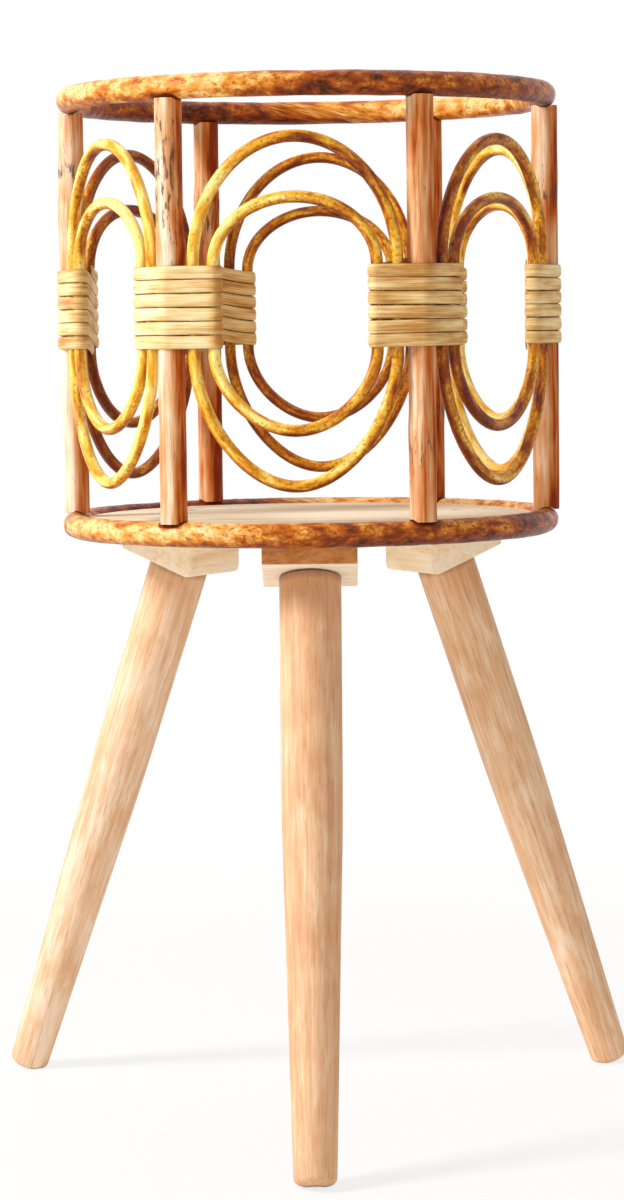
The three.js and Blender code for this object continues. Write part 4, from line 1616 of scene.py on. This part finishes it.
    def path(self, random: np.random.Generator) -> np.ndarray:
        """The strap's middle line about the binding's middle: level turns that climb across the hidden run.

        Args:
            random: The source of the small strays.

        Returns:
            The points, as rows of three.
        """
        belt = self.belt()
        reach = belt[:, 0].max()
        hidden = np.abs(belt[:, 1] - belt[0, 1]) < self.run_error
        share = smoothstep((belt[:, 0] + reach) / (2 * reach))
        angle = 2 * math.pi * np.arange(len(belt)) / len(belt)
        climb = np.where(hidden, np.where(angle < math.pi, share - 1, share), 0)
        half_run = angle[hidden & (angle < math.pi)].max()
        seen = smoothstep((np.minimum(angle, 2 * math.pi - angle) - half_run) / self.fade)
        rows = []
        for turn in range(self.turns):
            phases = random.uniform(0, 2 * math.pi, 2)
            wave = 0.6 * np.sin(angle + phases[0]) + 0.4 * np.sin(3 * angle + phases[1])
            wave = wave * self.stray + random.uniform(-1, 1) * self.slope * belt[:, 0] / reach
            level = (turn - (self.turns - 1) / 2 + climb) * self.pitch + seen * wave
            rows.append(np.column_stack([belt[:, 0], -belt[:, 1], level]))
        return np.vstack(rows)


# ---- Board, legs and blocks --------------------------------------------------------------------


@dataclass
class SeatBoard:
    """The plywood disc inside the bottom ring, with six countersunk screw holes."""

    radius: float = 134.7 * MM
    bottom: float = 352.896 * MM
    top: float = 360.896 * MM
    edge: float = 1.0 * MM
    edge_share: float = 0.3  # how near the rounded edge's middle row comes to the sharp corner
    inner_share: float = 0.55  # where a middle row of its faces lies
    sides: int = 192
    hole_radius: float = 2.3 * MM
    hole_depth: float = 12 * MM
    hole_sides: int = 32
    head_radius: float = 4.3 * MM
    sharp: float = 30  # degrees
    grain_turn: float = math.radians(84)

    def build(self, finishes: Finishes) -> None:
        """Make the board and publish it.

        Args:
            finishes: The stand's finishes.
        """
        name = "seat_board_disc"
        board = link_object(name, turned_mesh(name, self.profile(), self.sides))
        board.data.transform(SIZES.basket_station(0))
        spots = [spot for leg in Leg for spot in screw_spots(leg)]
        holes = [turned_mesh("hole", self.hole(), self.hole_sides) for _ in spots]
        tools = [cut(board, hole, Matrix.Translation(spot)) for hole, spot in zip(holes, spots)]
        mesh = evaluated(board, *tools)
        shade_by_angle(mesh, self.sharp)
        store_grain(mesh, Matrix.Rotation(self.grain_turn, 4, "Y"), 0.0)
        publish(name, mesh, ["seat_board"], finishes.board_wood.build())

    def profile(self) -> list[tuple[float, float]]:
        """The board's outline from the middle of its underside to the middle of its top.

        Returns:
            The outline's points.
        """
        rim, edge, bottom, top = self.radius, self.edge, self.bottom, self.top
        inner, soft = self.inner_share * rim, self.edge_share * edge
        lower = [(0, bottom), (inner, bottom), (rim - edge, bottom), (rim - soft, bottom + soft)]
        upper = [(rim - soft, top - soft), (rim - edge, top), (inner, top), (0, top)]
        return [*lower, (rim, bottom + edge), (rim, top - edge), *upper]

    def hole(self) -> list[tuple[float, float]]:
        """A screw hole's outline below and above the face of the screw's head.

        Returns:
            The outline's points.
        """
        shank, head, depth = self.hole_radius, self.head_radius, self.hole_depth
        drill = [(0, -depth), (shank, -depth), (shank, shank - head), (head, 0)]
        return [*drill, (head, OVERCUT), (0, OVERCUT)]


@dataclass
class Legs:
    """Three turned legs with a long taper, a round-edged foot planed level, and a bolt hole in the top."""

    length: float = 350 * MM
    top_radius: float = 18 * MM
    knee_radius: float = 17.5 * MM
    knee: float = 140 * MM  # down from the top
    blend: float = 22 * MM
    foot_radius: float = 12.2 * MM
    foot_round: float = 5 * MM
    top_round: float = 1.2 * MM
    hole_radius: float = 4.3 * MM
    hole_depth: float = 31.5 * MM
    sides: int = 96
    round_steps: int = 10
    taper_steps: int = 12
    knee_steps: int = 14
    upper_steps: int = 24
    sharp: float = 40  # degrees
    seed_step: float = 0.53
    tones: dict[Leg, float] = field(
        default_factory=lambda: {Leg.FRONT: 0.18, Leg.RIGHT: -0.04, Leg.LEFT: -0.14}
    )
    top_tone: float = 0.3  # how much browner a leg is towards its top, just under its block
    top_fade: float = 50 * MM
    joint_fade: float = 1.3 * MM  # over which the painted shade at its top edge fades, under a band of full shade half as wide

    def build(self, finishes: Finishes) -> None:
        """Make the legs and publish them.

        Args:
            finishes: The stand's finishes.
        """
        material = finishes.leg_wood.build()
        for number, leg in enumerate(Leg, 1):
            name = f"leg_{leg.label}_turned"
            mesh = turned_mesh(name, self.profile(), self.sides)
            down = -read_places(mesh)[:, 2]
            store(mesh, TONE, self.tones[leg] + self.top_tone * smoothstep(1 - down / self.top_fade))
            # Painted shade along the leg's top edge, where it meets its block.
            store(mesh, JOINT_SHADE, smoothstep(1.5 - down / self.joint_fade))
            own = SIZES.leg_frame(leg.azimuth)
            mesh.transform(own)
            places = read_places(mesh)
            places[:, 2] = np.maximum(places[:, 2], 0)
            write_places(mesh, places)
            shade_by_angle(mesh, self.sharp)
            store_grain(mesh, own, self.seed_step * number)
            publish(name, mesh, [f"leg_{leg.label}"], material)

    def profile(self) -> list[Sequence[float]]:
        """The turned outline from the middle of the foot, up the outside and down into the bolt hole.

        Returns:
            The outline's points.
        """
        foot = Vector((self.foot_radius, self.foot_round - self.length))
        knee, top = Vector((self.knee_radius, -self.knee)), Vector((self.top_radius, -self.top_round))
        lower = knee.lerp(foot, self.blend / (self.length - self.knee - self.foot_round))
        upper = knee.lerp(top, self.blend / (self.knee - self.top_round))
        sole, rim = self.foot_radius - self.foot_round, self.top_radius - self.top_round
        outline = [(0, -self.length), (0.5 * sole, -self.length)]
        quarter = [step * math.pi / 2 / self.round_steps for step in range(self.round_steps + 1)]
        for turn in quarter:
            across, up = self.foot_round * math.sin(turn), self.foot_round * math.cos(turn)
            outline.append(Vector((sole + across, foot.y - up)))
        outline += [foot.lerp(lower, step / self.taper_steps) for step in range(1, self.taper_steps)]
        outline += rounded(lower, knee, upper, self.knee_steps)
        outline += [upper.lerp(top, step / self.upper_steps) for step in range(1, self.upper_steps)]
        for turn in quarter:
            across, up = self.top_round * math.cos(turn), self.top_round * (math.sin(turn) - 1)
            outline.append(Vector((rim + across, up)))
        outline += [(0.6 * self.top_radius, 0), (self.hole_radius, 0)]
        return [*outline, (self.hole_radius, -self.hole_depth), (0, -self.hole_depth)]


@dataclass
class Blocks:
    """The three sawn wedges that hold the legs at their splay."""

    width: float = 55 * MM
    outer: float = 119 * MM
    inner: float = 68.5 * MM
    top: float = 352.596 * MM
    slope_gap: float = 0.32 * MM
    corner: float = 8 * MM
    corner_steps: int = 10
    edge: float = 0.9 * MM
    edge_steps: int = 3
    edge_limit: float = math.radians(25)  # edges that turn less are left sharp
    bore_start: float = -2 * MM
    bores: tuple[tuple[float, float], ...] = (
        (8.3 * MM, 1.8 * MM),
        (6.3 * MM, 13.6 * MM),
        (4.3 * MM, 17.5 * MM),
    )  # radius and depth below the leg's top
    bore_sides: int = 48
    screw_radius: float = 2.3 * MM
    screw_depth: float = 24.3 * MM
    screw_point: float = 21 * MM  # the depth at which the drill's point starts
    screw_sides: int = 24
    sharp: float = 30  # degrees
    seed_step: float = 0.41

    def build(self, finishes: Finishes) -> None:
        """Make the blocks and publish them.

        Args:
            finishes: The stand's finishes.
        """
        material = finishes.block_wood.build()
        for number, leg in enumerate(Leg, 1):
            name = f"leg_block_{leg.label}_wedge"
            station = SIZES.station(leg.azimuth)
            block = link_object(name, self.wedge(name))
            block.data.transform(station)
            worn = block.modifiers.new("Edges", "BEVEL")
            worn.width = self.edge
            worn.segments = self.edge_steps
            worn.angle_limit = self.edge_limit
            tools = [cut(block, self.bore(), SIZES.leg_frame(leg.azimuth))]
            tools += [cut(block, self.screw_bore(), Matrix.Translation(spot)) for spot in screw_spots(leg)]
            mesh = evaluated(block, *tools)
            shade_by_angle(mesh, self.sharp)
            along = station @ Matrix.Rotation(math.pi / 2, 4, "Y")
            store_grain(mesh, along, self.seed_step * number)
            publish(name, mesh, [f"leg_block_{leg.label}"], material)

    def bore(self) -> Mesh:
        """The stepped drill of the leg's bolt and insert, whose bores are pairs of radius and depth.

        Returns:
            The drill.
        """
        steps = [(0.0, self.bore_start), (self.bores[0][0], self.bore_start)]
        for (radius, depth), (inner, _) in zip(self.bores, (*self.bores[1:], (0.0, 0.0))):
            steps += [(radius, depth), (inner, depth)]
        return turned_mesh("bore", steps, self.bore_sides)

    def screw_bore(self) -> Mesh:
        """The pointed drill of a board screw.

        Returns:
            The drill.
        """
        radius = self.screw_radius
        outline = [(0, -self.screw_depth), (radius, -self.screw_point), (radius, OVERCUT), (0, OVERCUT)]
        return turned_mesh("screw_bore", outline, self.screw_sides)

    def slope(self, radius: float) -> float:
        """The height of the sloping underside at a distance from the stand's axis."""
        return SIZES.leg_top_z + (radius - SIZES.leg_top_radius) * math.tan(SIZES.splay) + self.slope_gap

    def wedge(self, name: str) -> Mesh:
        """The wedge in its station, before its edges are eased.

        Args:
            name: The mesh's name.

        Returns:
            The wedge.
        """
        below = Vector((self.inner + self.corner, self.slope(self.inner + self.corner)))
        corner = Vector((self.inner, self.slope(self.inner)))
        above = corner + Vector((0, self.corner))
        outline = [(self.outer, self.slope(self.outer)), (self.outer, self.top), (self.inner, self.top)]
        outline += rounded(above, corner, below, self.corner_steps)
        shape = bmesh.new()
        left, right = (
            [shape.verts.new((across, -radius, height)) for radius, height in outline]
            for across in (-self.width / 2, self.width / 2)
        )
        shape.faces.new(left)
        shape.faces.new(right[::-1])
        for index in range(len(outline)):
            other = (index + 1) % len(outline)
            shape.faces.new((left[index], right[index], right[other], left[other]))
        bmesh.ops.recalc_face_normals(shape, faces=shape.faces)
        return new_mesh(name, shape)


# ---- Fasteners ---------------------------------------------------------------------------------


@dataclass(frozen=True)
class NailSize:
    """A wire nail's or brad's sizes: two radii, its head's thickness, and two lengths."""

    shank: float
    head: float
    thick: float
    length: float
    tip: float


@dataclass
class Fasteners:
    """Nails, brads and screws, with the leg bolts and inserts that stay as the frame has them."""

    post_nail: NailSize = NailSize(1.2 * MM, 2.5 * MM, 0.9 * MM, 40 * MM, 3 * MM)
    board_brad: NailSize = NailSize(0.9 * MM, 1.4 * MM, 0.8 * MM, 28 * MM, 2 * MM)
    nail_sides: int = 20
    nail_soft: float = 0.2 * MM  # the rounding of a head's edge
    nail_head_height: float = 7.0 * MM  # from a ring's centre to its nails' heads
    brad_head_radius: float = 149.7 * MM
    screw_head: float = 4 * MM
    screw_shank: float = 2 * MM
    screw_length: float = 24 * MM
    screw_tip: float = 3 * MM
    screw_soft: float = 0.15 * MM
    screw_sides: int = 32
    recess_floor: float = 0.4 * MM  # half the length of a slot of the cross at its floor
    recess_mouth: float = 3.4 * MM
    recess_height: float = 3 * MM
    recess_drop: float = 0.6 * MM  # how deep the middle of its height lies
    recess_width: float = 0.2  # a slot's width against its length

    def build(self, finishes: Finishes) -> None:
        """Make the fasteners, publish them, and dress the ones that stay.

        Args:
            finishes: The stand's finishes.
        """
        tree = FastenerTree("Fasteners", {"Fastener": "Object"})
        metals = (finishes.zinc, finishes.brass, finishes.stained_zinc)
        zinc, brass, stained = (metal.build() for metal in metals)
        slot = finishes.zinc.slot
        self.place(tree, "post_nails", self.nail(self.post_nail), self.nail_spots(), slot, zinc)
        self.place(tree, "board_brads", self.nail(self.board_brad), self.brad_spots(), slot, stained)
        self.place(tree, "board_screws", self.screw(), self.board_screw_spots(), slot, zinc)
        for leg in Leg:
            for kind, material in (("leg_bolt", zinc), ("leg_insert", brass)):
                mesh = bpy.data.objects[f"{kind}_{leg.label}"].data
                mesh.materials.clear()
                mesh.materials.append(material)

    def nail_spots(self) -> Spots:
        """Where the nails through the rings into the posts' ends are.

        Returns:
            Their spots.
        """
        spots = {}
        for end, height, up in (("top", SIZES.top_ring_z, 1), ("bottom", SIZES.bottom_ring_z, -1)):
            for post in Post:
                head = Vector((0, -SIZES.ring_radius, height + up * self.nail_head_height))
                station = SIZES.basket_station(post.azimuth)
                spots[f"{end}_nail_{post.label}"] = (station @ head, Vector((0, 0, up)))
        return spots

    def brad_spots(self) -> Spots:
        """Where the brads through the bottom ring into the board's edge are.

        Returns:
            Their spots.
        """
        spots = {}
        for post in BRAD_POSTS:
            station = SIZES.basket_station(post.azimuth + SIZES.brad_turn)
            head = station @ Vector((0, -self.brad_head_radius, SIZES.bottom_ring_z))
            spots[f"board_brad_{post.label}"] = (head, station.to_3x3() @ Vector((0, -1, 0)))
        return spots

    def board_screw_spots(self) -> Spots:
        """Where the screws through the board into the blocks are.

        Returns:
            Their spots.
        """
        spots = {}
        for leg in Leg:
            for side, head in zip("ab", screw_spots(leg)):
                spots[f"block_screw_{leg.label}_{side}"] = (head, Vector((0, 0, 1)))
        return spots

    def place(
        self, tree: FastenerTree, name: str, shape: Mesh, spots: Spots, slot: str, material: Material
    ) -> None:
        """Put copies of one fastener on the stand, as one piece.

        Args:
            tree: The tree that makes the copies.
            name: The piece's name.
            shape: The fastener, down -Z from the middle of its head's face.
            spots: Each copy's head and direction, by the CAD node that it stands for.
            slot: The record's material slot; not used.
            material: The fasteners' material.
        """
        points = path_mesh(name, [head for head, _ in spots.values()])
        axis = points.attributes.new("axis", "FLOAT_VECTOR", "POINT")
        axis.data.foreach_set("vector", [value for _, direction in spots.values() for value in direction])
        original = link_object(f"{name}_original", shape)
        mesh = tree.make(name, points, {"Fastener": original, "Material": material})
        bpy.data.objects.remove(original)
        publish(name, mesh, list(spots), material)

    def nail(self, size: NailSize) -> Mesh:
        """A wire nail with a flat head.

        Args:
            size: The nail's sizes.

        Returns:
            The nail.
        """
        soft, head, thick = self.nail_soft, size.head, size.thick
        point = [(0, -size.length), (size.shank, size.tip - size.length), (size.shank, -thick - soft)]
        face = [(head - soft, -thick), (head, soft - thick), (head, -soft), (head - soft, -0.25 * soft)]
        return turned_mesh("nail", [*point, *face, (0.5 * head, 0), (0, 0)], self.nail_sides)

    def screw(self) -> Mesh:
        """A countersunk screw with a plain cross recess.

        Returns:
            The screw.
        """
        head, shank, soft = self.screw_head, self.screw_shank, self.screw_soft
        tip = (shank, self.screw_tip - self.screw_length)
        under = [(0, -self.screw_length), tip, (shank, shank - head)]
        face = [(head - soft, -soft), (head - 2 * soft, 0), (0.6 * head, 0), (0, 0)]
        body = link_object("screw", turned_mesh("screw", [*under, *face], self.screw_sides))
        cross = bmesh.new()
        narrow = Matrix.Diagonal((1, self.recess_width, 1, 1)) @ Matrix.Rotation(math.pi / 4, 4, "Z")
        ends = {"radius1": self.recess_floor, "radius2": self.recess_mouth, "depth": self.recess_height}
        for turn in (0, math.pi / 2):
            place = Matrix.Rotation(turn, 4, "Z") @ narrow
            bmesh.ops.create_cone(cross, cap_ends=True, segments=4, matrix=place, **ends)
        recess = new_mesh("recess", cross)
        dropped = Matrix.Translation((0, 0, -self.recess_drop))
        return evaluated(body, cut(body, recess, dropped, lapped=True))


# ---- Studio ------------------------------------------------------------------------------------


@dataclass
class Studio:
    """A white floor and world, soft lamps, and the camera at the photograph's angle."""

    camera_place: tuple[float, float, float] = (0.019485, -2.04862, 0.47784)
    camera_turn: float = math.radians(0.535)
    camera_pitch: float = math.radians(4.628)
    camera_roll: float = math.radians(0.7)
    lens: float = 103.46
    sensor: float = 36
    sight: float = 50.0  # how far the camera sees, in metres
    floor_size: float = 12.0
    floor_grey: tuple[float, float, float, float] = (0.88, 0.88, 0.88, 1)
    floor_white: float = 0.78  # the share of plain white that the camera sees in the floor near the stand
    floor_fade: tuple[float, float] = (0.35, 1.1)  # how far out the floor starts and ends to whiten
    fill_colour: str = "#ffefdd"
    fill: float = 0.5
    lamp_target: float = 0.4  # the height that the lamps are aimed at
    lamps: tuple[tuple[str, tuple[float, float, float], float, float], ...] = (
        ("Key", (-2.4, -0.9, 2.1), 0.8, 94.0),
        ("Fill", (0.6, -2.8, 1.0), 1.6, 7.0),
        ("Top", (0.3, 0.9, 2.4), 1.4, 8.0),
    )  # name, place, size in metres and watts

    def build(self) -> None:
        """Make the floor, world, lamps and camera."""
        self.make_floor()
        self.make_world()
        self.make_lamps()
        self.make_camera()
        bpy.context.scene.view_settings.view_transform = "Standard"

    def seen_plainly(self, tree: Tree) -> Socket:
        """1 for camera, glossy and transmission rays, else 0.

        Args:
            tree: The material's or the world's tree.

        Returns:
            The value's socket.
        """
        rays = add_node(tree, "ShaderNodeLightPath").outputs
        seen = rays["Is Camera Ray"]
        for kind in ("Is Glossy Ray", "Is Transmission Ray"):
            either = {0: seen, 1: rays[kind]}
            seen = add_node(tree, "ShaderNodeMath", either, operation="MAXIMUM").outputs[0]
        return seen

    def make_floor(self) -> None:
        """Make the floor, which fades to plain white away from the stand."""
        shape = bmesh.new()
        bmesh.ops.create_grid(shape, x_segments=2, y_segments=2, size=self.floor_size)
        mesh = new_mesh("floor", shape)
        material = bpy.data.materials.new("Studio floor")
        material.use_nodes = True
        tree = material.node_tree
        tree.nodes.clear()
        place = add_node(tree, "ShaderNodeTexCoord").outputs["Object"]
        distance = add_node(tree, "ShaderNodeVectorMath", {0: place}, operation="LENGTH").outputs["Value"]
        start, end = self.floor_fade
        limits = {"Value": distance, "From Min": start, "From Max": end, "To Min": self.floor_white}
        fade = add_node(tree, "ShaderNodeMapRange", limits, interpolation_type="SMOOTHSTEP")
        seen = {0: fade.outputs[0], 1: self.seen_plainly(tree)}
        share = add_node(tree, "ShaderNodeMath", seen, operation="MULTIPLY").outputs[0]
        matt = add_node(tree, "ShaderNodeBsdfDiffuse", {"Color": self.floor_grey}).outputs[0]
        white = add_node(tree, "ShaderNodeEmission", {"Strength": 1.0}).outputs[0]
        mixed = add_node(tree, "ShaderNodeMixShader", {0: share, 1: matt, 2: white})
        add_node(tree, "ShaderNodeOutputMaterial", {"Surface": mixed.outputs[0]})
        mesh.materials.append(material)
        link_object("floor", mesh)

    def make_world(self) -> None:
        """Make the world: white where it is seen, and a plain fill where it lights."""
        world = bpy.data.worlds.new("Studio")
        world.use_nodes = True
        tree = world.node_tree
        tree.nodes.clear()
        lit = {"Color": linear(self.fill_colour), "Strength": self.fill}
        fill = add_node(tree, "ShaderNodeBackground", lit)
        white = add_node(tree, "ShaderNodeBackground", {"Color": (1, 1, 1, 1), "Strength": 1.0})
        sides = {0: self.seen_plainly(tree), 1: fill.outputs[0], 2: white.outputs[0]}
        mixed = add_node(tree, "ShaderNodeMixShader", sides)
        add_node(tree, "ShaderNodeOutputWorld", {"Surface": mixed.outputs[0]})
        bpy.context.scene.world = world

    def make_lamps(self) -> None:
        """Make the square area lamps, each aimed at the basket."""
        target = Vector((0, SIZES.axis_y, self.lamp_target))
        for name, place, size, watts in self.lamps:
            lamp = bpy.data.lights.new(name, "AREA")
            lamp.size = size
            lamp.energy = watts
            obj = bpy.data.objects.new(name, lamp)
            obj.location = place
            obj.rotation_euler = (target - Vector(place)).to_track_quat("-Z", "Y").to_euler()
            obj.visible_camera = False
            bpy.context.scene.collection.objects.link(obj)

    def make_camera(self) -> None:
        """Make the camera, turned, pitched and rolled as the photograph was."""
        camera = bpy.data.cameras.new("Camera")
        camera.sensor_width = self.sensor
        camera.lens = self.lens
        camera.clip_end = self.sight
        obj = bpy.data.objects.new("Camera", camera)
        turn = Matrix.Rotation(self.camera_turn, 4, "Z")
        pitch = Matrix.Rotation(math.pi / 2 - self.camera_pitch, 4, "X")
        roll = Matrix.Rotation(-self.camera_roll, 4, "Z")
        obj.matrix_world = Matrix.Translation(self.camera_place) @ turn @ pitch @ roll
        bpy.context.scene.collection.objects.link(obj)
        bpy.context.scene.camera = obj


# ---- The stand ---------------------------------------------------------------------------------


def main() -> None:
    """Load the frame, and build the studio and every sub-assembly."""
    logging.basicConfig(level=logging.INFO, format="%(message)s")
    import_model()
    Studio().build()
    finishes = Finishes()
    builders: tuple[Callable[[Finishes], None], ...] = (
        Rings().build,
        Posts().build,
        Hoops().build,
        Bindings().build,
        SeatBoard().build,
        Legs().build,
        Blocks().build,
        Fasteners().build,
    )
    for build in builders:
        build(finishes)


if __name__ == "__main__":
    main()
